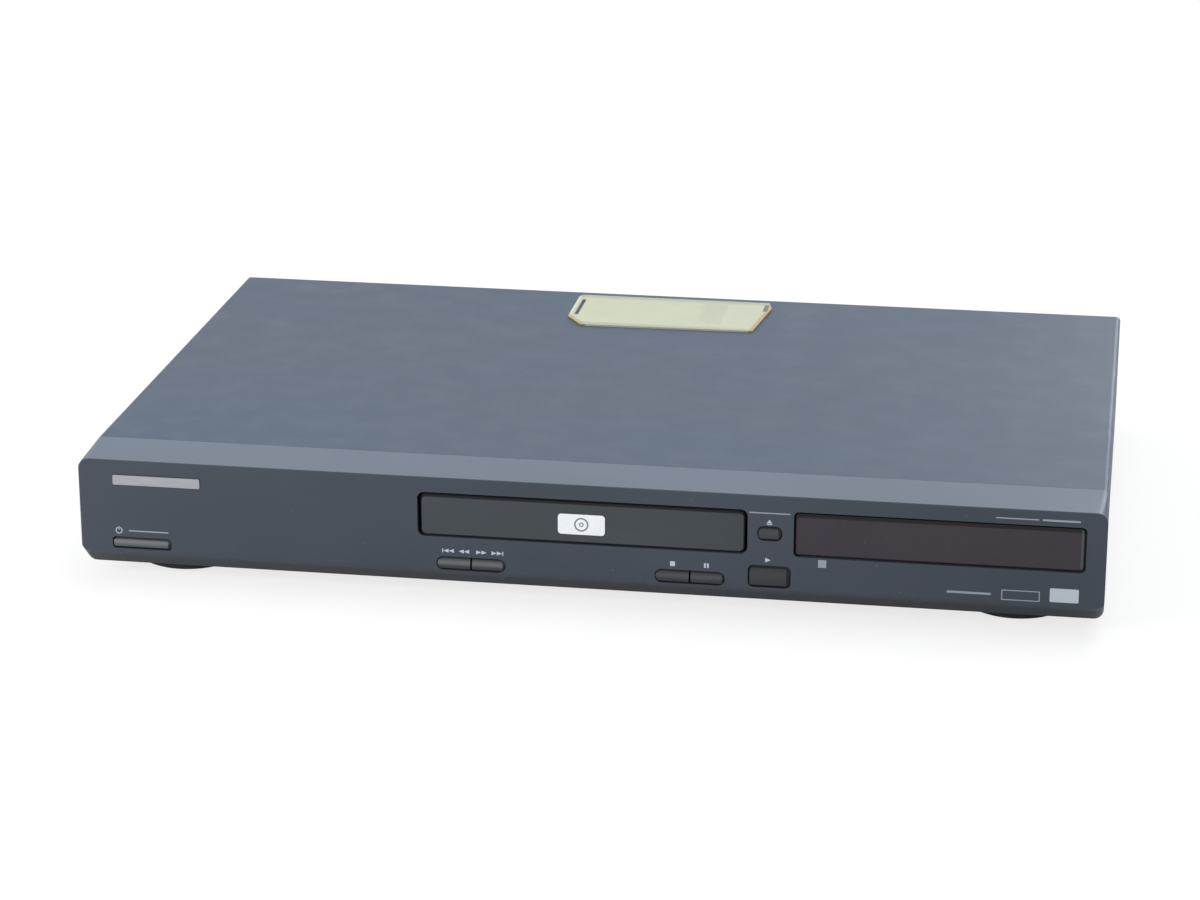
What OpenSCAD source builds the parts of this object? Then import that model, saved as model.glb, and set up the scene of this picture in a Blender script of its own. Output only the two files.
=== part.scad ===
// Slim table-top disc player with a motor-driven tray.
// Origin at the centre of the footprint on the table; +X right, +Y to the rear, +Z up.

/* [Cabinet] */
// Width across the front panel
unit_w = 420; // [405:1:440]
// Depth from the nameplate on the front panel to the ends of the rear sockets
unit_d = 278; // [270:1:310]
// Height of the flat front face
face_h = 40.5; // [39.5:0.5:56]
// Height of the chamfered lip under the face
lip_h = 6.5; // [5.5:0.5:7.5]
// How far the lip slopes back at its lower edge
lip_back = 7; // [5:0.5:9]
// How much the cover stands above the face's top edge
cover_rise = 0.7; // [0.6:0.1:2]
// Depth of the front panel moulding at its top
panel_d = 26.5; // [26:0.5:34]
// How much the front panel narrows at each side towards the cover
panel_taper = 0.55; // [0.5:0.05:2]
// Wall thickness of the front panel
panel_t = 2.4; // [2:0.1:2.8]
// Radius of the front face's top corners
top_r = 4.5; // [3.5:0.5:6]
// Outer radius of the cover's bends
fold_r = 2; // [1.6:0.1:4]
// Radius of the front face's lower corners
low_r = 3; // [2:0.5:4]
// Thickness of the steel cover
cover_t = 1; // [0.8:0.1:1.2]
// Thickness of the steel pan and rear panel
pan_t = 1; // [0.8:0.1:1.2]
// Gap between sheets that lie side by side
sheet_gap = 0.4; // [0.2:0.1:0.6]
// How far the rear sockets stand out of the rear panel
socket_out = 9; // [8:0.5:12]

/* [Feet] */
// Height of the feet
foot_h = 6.5; // [5:0.5:9]
// Diameter of the feet
foot_d = 46; // [32:1:48]
// Distance of a foot's centre from the side of the player
foot_in_x = 36; // [30:1:44]
// Distance of the front feet's centres from the face
foot_in_y = 39; // [37:0.5:60]

/* [Tray] */
// Diameter of the well for a 120 mm disc
well_d = 121; // [120.6:0.1:122]
// Diameter of the inner well for an 80 mm disc
small_well_d = 81; // [80.6:0.1:83]
// Width of the tray's rim beside the disc's well
tray_rim = 2.5; // [2.3:0.1:3]
// Height of the tray body
tray_h = 9.2; // [8.5:0.1:9.6]
// Travel of the tray
tray_travel = 142; // [120:1:145]
// Distance of the disc's centre behind the face
disc_y = 72; // [71:0.5:73]
// Width of the tray's slot for the pickup
slot_w = 52; // [46:1:54]
// How far the tray door reaches past the tray at each side
door_over = 3.4; // [3:0.1:3.6]
// Height of the tray door
door_h = 18; // [17:0.2:18.4]
// Thickness of the tray door
door_t = 3.8; // [3:0.1:4]
// How far the door lies behind the face
door_in = 0.6; // [0.4:0.1:1]
// Gap at each side of the door
door_gap_x = 1.1; // [0.6:0.1:1.5]
// Gap above and below the door
door_gap_z = 0.5; // [0.4:0.1:1]

/* [Display window] */
// Distance from the tray opening to the display window
window_gap = 18.5; // [17.5:0.5:30]
// Height of the display window
window_h = 19.1; // [16:0.1:20]
// Distance of the window from the face's right end
window_in_x = 8; // [6:0.5:14]
// How far the nameplate stands out of the face
name_proud = 0.3; // [0.2:0.05:0.5]

/* [Buttons] */
// Travel of the push buttons
button_travel = 0.6; // [0.3:0.05:0.8]
// Gap round each button
button_gap = 0.4; // [0.2:0.05:0.5]
// Height of the low row of buttons
low_button_h = 5.1; // [4.4:0.1:6.2]

/* [Gear train] */
// Module of the tray drive's teeth
drive_m = 0.8; // [0.8:0.01:0.81]
// Teeth of the pinion that drives the tray's rack
pinion_z = 20; // [20:1:21]
// Teeth of the large wheel under that pinion
wheel_z = 36; // [34:1:36]
// Teeth of the pulley's pinion
pulley_z = 12; // [12:1:13]
// Module of the feed motor's teeth
feed_m = 0.5; // [0.5:0.01:0.51]
// Teeth of the feed wheel
feed_wheel_z = 40; // [38:1:40]
// Teeth of the feed motor's pinion
feed_motor_z = 12; // [12:1:14]
// Module of the pickup's rack
rack_m = 0.6; // [0.6:0.01:0.61]
// Teeth of the feed wheel's pinion
feed_pinion_z = 14; // [13:1:14]
// Travel of the pickup
pickup_travel = 34; // [28:1:34]
// How far the traverse's front drops to free the disc
traverse_drop = 7; // [5:0.1:7.2]
// Travel of the cam slide
cam_travel = 24; // [20:0.5:24]
// Running gap of shafts and pins in their bores
shaft_gap = 0.05; // [0.03:0.01:0.08]

/* [Rear sockets] */
// Outer radius of a phono socket's barrel
phono_r = 4.15; // [4.1:0.05:4.2]
// Distance between neighbouring phono sockets
phono_pitch = 14; // [13:0.5:16]

/* [Hidden] */

// Levels of the cabinet
y_face = name_proud - unit_d / 2;
y_back = unit_d / 2 - socket_out;
z_floor = foot_h;
z_pan = z_floor + pan_t;
z_face0 = z_floor + lip_h;
z_face1 = z_face0 + face_h;
z_top = z_face1 + cover_rise;
half_w = unit_w / 2;
y_panel1 = y_face + panel_d;
cover_x = half_w - panel_taper;
y_cover0 = y_panel1 + 0.2;
y_cover1 = y_back + cover_t;
pan_x = cover_x - cover_t - sheet_gap;
y_wall = y_face + panel_t;
lip_end_in = 1;
face_edge = 0.5;
low_rim = 2;
y_wide = y_cover0 + 0.3;
y_pan0 = y_face + lip_back + panel_t + 0.5;
pan_front_x = cover_x - panel_t - 1.5;
foot_x = half_w - foot_in_x;
foot_y = [y_face + foot_in_y, y_back - foot_d / 2 - 3];
tray_w = well_d + 2 * tray_rim;
door_w = tray_w + 2 * door_over;

// How far a cut runs past the face it opens, and how deep a rib or post is rooted in its wall
cut = 1;
weld = 0.2;

// Fasteners: the screws' radius, the fits of their holes, their heads and their lengths
screw_r = 1.3;
thread_gap = 0.05;
hole_gap = 0.2;
sink_gap = 0.1;
head_h = 1.4;
cross_w = 0.5;
cross_d = 0.7;
board_screw_l = 6;
front_screw_l = 5;
rear_screw_l = 5;
cover_screw_l = 6;
loader_screw_l = 8;

// Folds, beads and air slots of the sheet parts
cover_low_gap = 0.8;
hem_h = 7;
tab_w = 6;
tab_in = 11;
pan_flange_h = 24;
rear_flange = 10;
beads = 3;
bead_w = 7;
bead_l = 60;
bead_h = 0.8;
bead_y = y_face + 40;
vent_pitch = 6;
vent_r = 1.5;
floor_vents = 10;
floor_vent_l = 36;
floor_vent_x = [54 - half_w, half_w - 110];
floor_vent_y = 20;
rear_vents = 12;
rear_vent_l = 20;
rear_vent_x = -110;
z_rear_vent = z_pan + 14;

// Feet: the screw's seat, the sunk hole under it and the edges
foot_seat = 4.4;
foot_sink_r = 3.4;
foot_edge = 0.8;
foot_screw_l = z_pan - foot_seat + 1.3;

// Levels of the loader
loader_lift = 6.5;
z_load = z_pan + loader_lift;
z_tray = z_load + 19;
z_well = z_tray + 3.4;
z_tray1 = z_tray + tray_h;
disc_cy = y_face + disc_y;
z_seat = z_well + 1.8;
disc_t = 1.2;
z_clamp = z_seat + disc_t + 0.3;
tray_y0 = y_face + door_in + door_t;
tray_y1 = disc_cy + 112;
tongue_w = 2.5;
tongue_h = 2.5;
z_tongue = z_tray + 2;
rail_gap = 0.2;
rail_x = tray_w / 2 + 0.6;
loader_x = tray_w / 2 + tongue_w + 4.5;
loader_wall = 2;
loader_y0 = y_face + 13.2;
loader_y1 = tray_y1 + 5;
z_door = z_tray + tray_h / 2 - door_h / 2;
z_bridge = z_load + 33;
bridge_t = 1;
ear_x = loader_x + 6;
ear_y = [y_face + 21, loader_y1 - 10];
ear_r = 5;
ear_t = 3;
floor_t = 2;
bay_x = 43;
z_rail0 = z_tongue - rail_gap;
z_rail1 = z_tongue + tongue_h + rail_gap;
ledge_t = 1.6;
frame_h = 30;
bridge_w = 28;
bridge_pad = [7, 3];
bridge_pin = [3.5, 10];
bridge_pin_r = 0.9;
hook_x = [-9, 22];
hook_w = 4;
deck_y1 = y_face + 45.5;
z_deck = z_load + 7;

// Tray drive: the rack's pitch line, the drive gear, the pulley gear and the motor
rack_x = 9 - tray_w / 2;
gear_y = y_face + 28.5;
drive_x = rack_x + drive_m * pinion_z / 2;
pulley_x = drive_x + drive_m * (wheel_z + pulley_z) / 2;
motor_x = pulley_x + 40.8;
pulley_r = 12;
motor_pulley_r = 3;
belt_t = 1.2;
belt_h = 1.5;
belt_gap = 0.1;
z_pulley = z_deck + 0.5;
z_belt = z_pulley + 1.1;
z_wheel = z_deck + 4.7;
z_pinion = z_deck + 7.6;
z_pinion1 = z_tray - 0.6;
gear_backlash = 0.16;
pin_r = 2;
gear_t = 2.1;
rack_depth = 3.2;
z_rack = z_tray - 3.2;
rack_end = 7;
motor_r = 12;
motor_neck_r = 3.6;
motor_shaft_r = 1;
groove = 0.4;
pulley_rim = 1.5;
pulley_lip = 0.5;
pulley_h = belt_h + 2.2;
wheel_hub_r = 4;

// Tray: corners, lobes beside the slot, floors and the finger relief
tray_r = 3;
lobe_r = 2;
tray_wall = 2;
tray_floor = 1.8;
small_well_in = 0.8;
relief_r = 13;
slot_wall = 1.6;
door_hollow = [5, 1.6, 1.8];

// Traverse: a hinged frame with the spindle, the pickup and its rods
hinge_y = disc_cy + 97;
z_hinge = z_load + 13;
hinge_r = 2;
trav_x = 38;
trav_y0 = disc_cy - 21.5;
trav_y1 = hinge_y + 3;
z_trav0 = z_load + 10;
z_trav1 = z_tray - 1;
trav_t = 2.5;
cam_pin_r = 1.5;
cam_pin_x = [-8, 28];
z_cam_pin = z_load + 14;
cam_y0 = trav_y0 - 3.7;
cam_t = 2.4;
cam_y1 = cam_y0 + cam_t;
cam_x = [-40, 34];
z_cam = [z_load + 3.5, z_load + 17.5];
cam_rack_x = drive_x + 6.5;
cam_rack_l = 27;
z_cam_rack = z_tray - 0.8;
cam_pin_gap = 0.25;
cam_gap = 0.3;
cam_lift = 0.2;
cam_foot = [2.5, 1.7];
hook_t = 1.3;
rod_x = 29;
rod_r = 1.5;
z_rod = z_load + 13.5;
spindle_r = 13;
hub_r = 7.45;
seat_r = 15;
hub_hole_r = 24;
clamp_neck_r = 11;
clamp_flange_r = 16;
pickup_y0 = disc_cy + 15.7;
pickup_d = 31;
lens_y = disc_cy + 24;
feed_x = 20 + rack_m * feed_pinion_z / 2;
feed_y = lens_y - 2;
feed_angle = 60;
feed_centre = feed_m * (feed_wheel_z + feed_motor_z) / 2;
feed_motor_x = feed_x + feed_centre * cos(feed_angle);
feed_motor_y = feed_y + feed_centre * sin(feed_angle);
z_feed_arm = z_trav0 - 5;
feed_arm_t = 1.4;
z_feed_wheel = z_feed_arm + feed_arm_t + 0.2;
z_feed_pinion = z_trav0 - 1.6;
feed_pin_r = 1;
feed_t = 1.8;
feed_motor_r = 6;
feed_shaft_r = 0.75;
holder = [6, 3];
holder_y = [pickup_y0 - 5.5, pickup_y0 + pickup_d + pickup_travel + 2.5];
spindle_shaft_r = 1.5;

// Front panel: rows and places
open_w = door_w + 2 * door_gap_x;
window_x0 = open_w / 2 + window_gap;
window_x1 = half_w - window_in_x;
window_w = window_x1 - window_x0;
window_r = 2;
window_cx = (window_x0 + window_x1) / 2;
window_cz = z_face0 + 15.1 + window_h / 2;
pane_in = 1;
pane_gap = 0.4;
pane_bevel = 0.5;
pane_rim = 2;
pane_rim_t = 1.2;
door_r = 2.4;
door_bevel = 0.7;
rib_out = 0.4;
rib_t = 1.2;
rib_h = 3;
open_z0 = z_door - door_gap_z;
open_z1 = z_door + door_h + door_gap_z;
button_in = 0.1;
button_flange_t = 1.5;
flange_gap = 0.3;
flange_over = 0.75;
stem_w = 2.6;
stem_t = 0.9;
low_row_z = z_face0 + 3.8;
standby_x = -half_w + 26;
standby_z = low_row_z + 0.8;
standby_w = 24.3;
standby_h = 4.3;
standby_r = 1.2;
low_button_pitch = 14.3;
low_button_w = low_button_pitch - 2 * button_gap;
prev_x = 14.8 - open_w / 2;
next_x = prev_x + low_button_pitch;
pause_x = open_w / 2 - 16.1;
stop_x = pause_x - low_button_pitch;
open_x = (open_w / 2 + window_x0) / 2 - 0.3;
play_x = open_x;
open_button_w = 9.3;
open_button_h = 5.5;
open_button_r = 2.3;
play_button_w = 16.5;
play_button_h = 8.7;
play_button_r = 1.9;
name_w = 36.8;
name_h = 4.2;
name_in = 0.75;
name_gap = 0.2;
name_x = -half_w + 33.1;
name_z = z_face0 + 32.05;
badge_w = 19.2;
badge_h = 8.6;
badge_t = 0.3;
label_x = 1.6;
label_w = 92.4;
label_d = 47.5;
label_t = 0.8;
label_in = 6.5;
label_r = 3;
label_front_left = [7.8, 12.3];
label_front_right = [4.7, 1.7];
label_rear_right = [1.9, 8.5];
label_slot = [3.3, 16, 0.9];
cap_bevel = 1.1;
cap_edge = 0.5;
z_open_button = z_face0 + 24.4;
z_play_button = z_face0 + 6;
board_t = 1.6;
board_y0 = y_face + 10;
board_y1 = board_y0 + board_t;
switch_w = 6;
switch_y0 = board_y0 - 3;
plunger_r = 1.7;
plunger_y0 = board_y0 - 3.8;
stem_gap = 0.05;
y_stem = plunger_y0 - button_travel - stem_gap;
boss_r = 2.8;
tube_d = 5.4;
tube_in = 11;
front_board_x = [4 - loader_x, loader_x - 1, window_x1 + 1];
front_board_z = [z_pan + 3, z_load + 12, z_face1 - 4];
standby_board_w = 32;
standby_board_h = 20;
switch_places = [
    [standby_x, standby_z], [prev_x, low_row_z], [next_x, low_row_z], [stop_x, low_row_z],
    [pause_x, low_row_z], [open_x, z_open_button], [play_x, z_play_button]
];

// Boards behind the front panel and sockets at the rear
z_board = z_pan + 9.5;
z_board1 = z_board + board_t;
post_r = 3;
power_x0 = -half_w + 10;
power_x1 = -ear_x - ear_r - 5;
power_y0 = -20;
power_cx = (power_x0 + power_x1) / 2;
board_rear = y_back - pan_t - 5.6;
main_x0 = loader_x + 9;
main_x1 = half_w - 10;
main_y0 = -60;
main_back_x0 = -66;
main_back_y0 = loader_y1 + 10;
power_posts = [
    [power_x0 + 6, power_y0 + 6], [power_x1 - 6, power_y0 + 6],
    [power_x0 + 6, board_rear - 8], [power_x1 - 6, board_rear - 8]
];
main_posts = [
    [main_x0 + 6, main_y0 + 6], [main_x1 - 6, main_y0 + 6],
    [main_back_x0 + 6, main_back_y0 + 6], [main_x1 - 6, board_rear - 22]
];
front_posts = [[0, z_face0 + 5], [window_x0 + 14, z_face0 + 6], [window_x1 - 4, z_face0 + 6]];
standby_posts = [for (s = [-1, 1]) [standby_x + 10 * s, z_face0 + 12]];
z_phono = [z_board1 + 7.4, z_board1 + 21.4];
phono_x0 = half_w - 170;
phono_x = [for (k = [0, 1, 2, 4, 5]) phono_x0 + k * phono_pitch];
barrel_t = 0.9;
barrel_flange = 1.2;
pin_hole_r = 1.6;
s_video_x = phono_x0 - 24;
s_video_r = 6;
optical_x = half_w - 70;
optical_w = 10.4;
socket_gap = 0.3;
socket_d = 8;
inlet_d = 16;
inlet_w = 20;
inlet_h = 12;
inlet_r = 3.6;
inlet_hole_r = 3.7;
inlet_hole_x = 3.9;
inlet_hole_d = 11;
inlet_pin_x = 4.3;
inlet_pin_r = 1.2;
inlet_x = -half_w + 35;
z_inlet = z_board1 + 8.5;
cover_screw_y = [y_panel1 + 60, y_back - 42];
z_cover_screw = z_pan + 14;
rear_screw_x = [-150, 0, 150];
z_rear1 = z_top - cover_t - 0.3;
z_rear_screw = z_top - cover_t - hem_h / 2;

// Chips: place across and along the main board as shares of its size, side and legs on a side
chips = [[0.5, 0.33, 28, 8], [0.83, 0.49, 18, 6], [0.42, 0.6, 14, 5]];
chip_h = 1.8;
chip_lift = 0.2;
chip_leg = [1.6, 0.8, 0.7];

// Electrolytic cans: place across the power board, share of its length, radius and height
cans = [
    [-38, 0.3, 11, 28], [-38, 0.75, 6, 20], [20, 0.28, 5, 16],
    [20, 0.37, 5, 16], [34, 0.31, 4, 12], [34, 0.84, 5, 18]
];
cable_t = 0.5;

// Colours
cover_c = [0.44, 0.48, 0.54];
panel_c = [0.28, 0.31, 0.35];
steel_c = [0.72, 0.73, 0.74];
dark_c = [0.12, 0.12, 0.13];
white_c = [0.90, 0.90, 0.88];
green_c = [0.12, 0.36, 0.22];

// Outline helpers --------------------------------------------------------

// Points of an arc round a centre
function arc(c, r, a0, a1, n = 8) =
    [for (i = [0:n]) let (a = a0 + (a1 - a0) * i / n) c + r * [cos(a), sin(a)]];

// Points of a rectangle with round corners, centred on the origin
function round_box(w, h, r, n = 6) = concat(
    arc([w / 2 - r, h / 2 - r], r, 0, 90, n), arc([r - w / 2, h / 2 - r], r, 90, 180, n),
    arc([r - w / 2, r - h / 2], r, 180, 270, n), arc([w / 2 - r, r - h / 2], r, 270, 360, n));

module rounded(w, h, r) polygon(round_box(w, h, r));

// A slot between two points
module slot(a, b, r) {
    turn = atan2(b[1] - a[1], b[0] - a[0]);
    polygon(concat(arc(b, r, turn - 90, turn + 90, 10), arc(a, r, turn + 90, turn + 270, 10)));
}

// Prisms along each axis: the outline is drawn in X-Z, in Y-Z or in X-Y
module along_y(y0, y1) translate([0, y1, 0]) rotate([90, 0, 0])
    linear_extrude(y1 - y0) children();

module along_x(x0, x1) translate([x0, 0, 0]) rotate([90, 0, 90])
    linear_extrude(x1 - x0) children();

module along_z(z0, z1) translate([0, 0, z0]) linear_extrude(z1 - z0) children();

// Round bars along each axis
module bar_x(x0, x1, y, z, r) translate([x0, y, z]) rotate([0, 90, 0])
    cylinder(h = x1 - x0, r = r, $fn = 48);

module bar_y(x, y0, y1, z, r) translate([x, y1, z]) rotate([90, 0, 0])
    cylinder(h = y1 - y0, r = r, $fn = 48);

module bar_z(x, y, z0, z1, r) translate([x, y, z0]) cylinder(h = z1 - z0, r = r, $fn = 48);

// A block between two corners
module block(a, b) translate(a) cube(b - a);

// A plate along Y whose front edge is bevelled all round
module bevelled(w, h, r, y0, y1, bevel) hull() {
    along_y(y0 + bevel, y1) rounded(w, h, r);
    along_y(y0, y0 + 0.01) rounded(w - 2 * bevel, h - 2 * bevel, r - bevel);
}

// Outline of a bent sheet: a line of points, thickened to its left
function left(a, b) = let (d = b - a) [-d[1], d[0]] / norm(d);
function bent_sheet(p, t) = let (last = len(p) - 1) concat(p, [for (i = [last:-1:0])
    let (n = left(p[max(i - 1, 0)], p[max(i, 1)]),
         m = n + left(p[min(i, last - 1)], p[min(i + 1, last)]))
    p[i] + t * m / (m * n)]);

// A pan-head screw along -Z with its head's seat at the given height
module screw_z(x, y, z, length, r = screw_r) translate([x, y, z]) {
    translate([0, 0, -length]) cylinder(h = length, r = r, $fn = 24);
    difference() {
        cylinder(h = head_h, r1 = 2 * r, r2 = 1.7 * r, $fn = 32);
        translate([0, 0, head_h]) cross_slot(2.2 * r);
    }
}

// The cross slot of a screw, cut down from Z = 0
module cross_slot(w) {
    cube([w, cross_w, 2 * cross_d], center = true);
    cube([cross_w, w, 2 * cross_d], center = true);
}

// A countersunk screw along -Z, flush at Z = 0, or the hole for it when it is drawn larger by a gap
module sunk_screw(length, gap) {
    open = gap > 0 ? 0.01 : 0;
    translate([0, 0, -length]) cylinder(h = length - gap, r = screw_r + gap, $fn = 32);
    translate([0, 0, -cover_t - gap])
        cylinder(h = cover_t + gap + open, r1 = screw_r + gap, r2 = 2 * screw_r + gap, $fn = 48);
}

// The place of a screw in the cover's side, with +Z pointing out of the side
module in_cover_side(side, y) mirror([side, 0, 0]) translate([cover_x, y, z_cover_screw])
    rotate([0, 90, 0]) children();

// Gear outlines: involute teeth, one tooth centred at angle 0
function roll(rb, r) = let (a = acos(min(1, rb / r))) tan(a) * 180 / PI - a;

function tooth(m, z, gap, turn) =
    let (rp = m * z / 2, rb = rp * cos(20), ra = rp + 0.85 * m, rf = rp - 1.25 * m,
         half = 90 / z - gap / rp * 90 / PI + roll(rb, rp), r0 = max(rb, rf),
         side = [for (i = [0:4]) let (r = r0 + (ra - r0) * i / 4) [r, half - roll(rb, r)]],
         foot = rf < rb ? [[rf, half]] : [],
         flank = concat(foot, side), last = len(flank) - 1)
    concat([for (p = flank) p[0] * [cos(turn - p[1]), sin(turn - p[1])]],
        [for (i = [last:-1:0]) let (p = flank[i]) p[0] * [cos(turn + p[1]), sin(turn + p[1])]]);

module gear(m, z, turn = 0)
    polygon([for (k = [0:z - 1]) each tooth(m, z, gear_backlash, turn + k * 360 / z)]);

// A rack along Y whose teeth point to +X; the pitch line is at X = 0 and a tooth lies at Y = 0
module rack(m, y0, y1, depth) {
    pitch = PI * m;
    first = ceil(y0 / pitch + 0.5);
    last = floor(y1 / pitch - 0.5);
    tip = 0.85 * m;
    root = 1.25 * m;
    half = pitch / 4 - gear_backlash / 2;
    profile = [[-root, -half - root * tan(20)], [tip, -half + tip * tan(20)],
        [tip, half - tip * tan(20)], [-root, half + root * tan(20)]];
    polygon(concat([[-depth, y0], [-root, y0]],
        [for (k = [first:last], p = profile) p + [0, k * pitch]], [[-root, y1], [-depth, y1]]));
}

// Casing -------------------------------------------------------------------

// The U of a folded sheet, drawn in X-Z
function fold_outline(x, z0, z1, r, t) = concat(
    [[x, z0]], arc([x - r, z1 - r], r, 0, 90), arc([r - x, z1 - r], r, 90, 180), [[-x, z0]],
    [[t - x, z0]], arc([r - x, z1 - r], r - t, 180, 90), arc([x - r, z1 - r], r - t, 90, 0),
    [[x - t, z0]]);

module top_cover() color(cover_c) difference() {
    union() {
        along_y(y_cover0, y_cover1)
            polygon(fold_outline(cover_x, z_floor + cover_low_gap, z_top, fold_r, cover_t));
        // Hem and side tabs folded in over the rear panel
        along_y(y_back, y_cover1) {
            translate([fold_r - cover_x, z_top - cover_t - hem_h])
                square([2 * (cover_x - fold_r), hem_h + cover_t / 2]);
            for (x = [cover_t / 2 - cover_x, cover_x - cover_t / 2 - tab_w])
                translate([x, z_floor + tab_in]) square([tab_w, z_top - z_floor - 2 * tab_in]);
        }
    }
    for (side = [0, 1], y = cover_screw_y) in_cover_side(side, y) sunk_screw(cover_t + cut, sink_gap);
    for (x = rear_screw_x) bar_y(x, y_back - cut, y_cover1 + cut, z_rear_screw, screw_r + hole_gap);
}

module pan_outline() polygon([[-pan_x, y_back - pan_t], [-pan_x, y_wide], [-pan_front_x, y_wide],
    [-pan_front_x, y_pan0], [pan_front_x, y_pan0], [pan_front_x, y_wide], [pan_x, y_wide],
    [pan_x, y_back - pan_t]]);

// Distance of a stiffening bead from the middle
function bead_x(k) = loader_x + (pan_x - loader_x) * (k + 0.1) / (beads + 2);

module chassis_pan() color(steel_c) difference() {
    union() {
        along_z(z_floor, z_pan) pan_outline();
        for (x = [-pan_x, pan_x - pan_t]) along_y(y_wide, y_back - pan_t)
            translate([x, z_floor]) square([pan_t, pan_flange_h]);
        for (p = concat(power_posts, main_posts)) bar_z(p[0], p[1], z_pan, z_board, post_r);
        for (s = [-1, 1], y = ear_y) bar_z(s * ear_x, y, z_pan, z_load, ear_r);
        // Stiffening beads pressed into the floor beside the loader
        for (s = [-1, 1], k = [1:beads]) along_z(z_pan - pan_t / 2, z_pan + bead_h)
            slot([s * bead_x(k), bead_y], [s * bead_x(k), bead_y + bead_l], bead_w / 2);
    }
    for (p = concat(power_posts, main_posts))
        bar_z(p[0], p[1], z_pan + 1, z_board + cut, screw_r + thread_gap);
    for (s = [-1, 1], y = ear_y)
        bar_z(s * ear_x, y, z_pan - 0.4, z_load + cut, screw_r + thread_gap);
    for (x = [-foot_x, foot_x], y = foot_y)
        bar_z(x, y, z_floor - cut, z_pan + cut, screw_r + hole_gap);
    for (x = [-pan_x, pan_x], y = cover_screw_y)
        bar_x(x - 2 * pan_t, x + 2 * pan_t, y, z_cover_screw, screw_r + thread_gap);
    // Air slots under the power board and the main board
    for (x0 = floor_vent_x, k = [0:floor_vents - 1]) let (x = x0 + vent_pitch * k)
        along_z(z_floor - cut, z_pan + cut)
            slot([x, floor_vent_y], [x, floor_vent_y + floor_vent_l], vent_r);
}

module rear_panel() color(steel_c) difference() {
    union() {
        along_y(y_back - pan_t, y_back) polygon(concat([[pan_x, z_pan]],
            arc([pan_x - fold_r, z_rear1 - fold_r], fold_r, 0, 90),
            arc([fold_r - pan_x, z_rear1 - fold_r], fold_r, 90, 180), [[-pan_x, z_pan]]));
        // Flanges folded forward at the foot and the top
        along_y(y_back - rear_flange, y_back - pan_t / 2) {
            translate([pan_t + sheet_gap - pan_x, z_pan])
                square([2 * (pan_x - pan_t - sheet_gap), pan_t]);
            translate([fold_r - pan_x, z_rear1 - pan_t]) square([2 * (pan_x - fold_r), pan_t]);
        }
    }
    for (x = rear_screw_x)
        bar_y(x, y_back - pan_t - cut, y_back + cut, z_rear_screw, screw_r + thread_gap);
    for (x = phono_x, z = z_phono) bar_y(x, y_back - pan_t - cut, y_back + cut, z, phono_r);
    bar_y(s_video_x, y_back - pan_t - cut, y_back + cut, z_phono[0], s_video_r + socket_gap);
    along_y(y_back - pan_t - cut, y_back + cut) {
        translate([optical_x, z_phono[0]])
            rounded(optical_w + 2 * socket_gap, optical_w + 2 * socket_gap, 1);
        translate([inlet_x, z_inlet])
            rounded(inlet_w + 2 * socket_gap, inlet_h + 2 * socket_gap, inlet_r + socket_gap);
        // Air slots
        for (k = [0:rear_vents - 1]) let (x = rear_vent_x + vent_pitch * k)
            slot([x, z_rear_vent], [x, z_rear_vent + rear_vent_l], vent_r);
    }
}

// A thin slice of the front panel's outline at a given distance behind the face
module panel_slice(y, x, z0, z1, r_top, r_low) along_y(y - 0.01, y) polygon(concat(
    arc([x - r_top, z1 - r_top], r_top, 0, 90), arc([r_top - x, z1 - r_top], r_top, 90, 180),
    arc([r_low - x, z0 + r_low], r_low, 180, 270, 6), arc([x - r_low, z0 + r_low], r_low, 270, 360, 6)));

// The panel's outer form, or its hollow when it is drawn smaller by a wall
module panel_form(wall) {
    rise = cover_rise / panel_d;
    taper = panel_taper / panel_d;
    hull() {
        if (wall == 0) panel_slice(y_face + 0.01, half_w - face_edge, z_face0 + face_edge,
            z_face1 - face_edge, top_r - face_edge, low_r - face_edge);
        panel_slice(y_face + max(face_edge, wall), half_w - wall, z_face0 + wall / 8,
            z_face1 - wall, top_r - wall / 2, low_r);
        panel_slice(y_face + lip_back + wall, half_w - taper * lip_back - wall, z_floor + wall,
            z_face1 + rise * lip_back - wall, top_r - wall / 2, low_r + lip_end_in);
        panel_slice(y_panel1 + (wall == 0 ? 0 : cut), cover_x - wall, z_floor + wall, z_top - wall,
            fold_r - wall / 4, low_r);
    }
}

// The outline of a button's window in the face
module button_hole(x, z, w, h, r) translate([x, z])
    rounded(w + 2 * button_gap, h + 2 * button_gap, r + button_gap - 0.01);

// The tray opening's outline, or that of a rib at some distance round it
module tray_opening(out) translate([0, (open_z0 + open_z1) / 2])
    rounded(open_w + 2 * out, open_z1 - open_z0 + 2 * out, door_r + door_gap_z + out);

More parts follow.
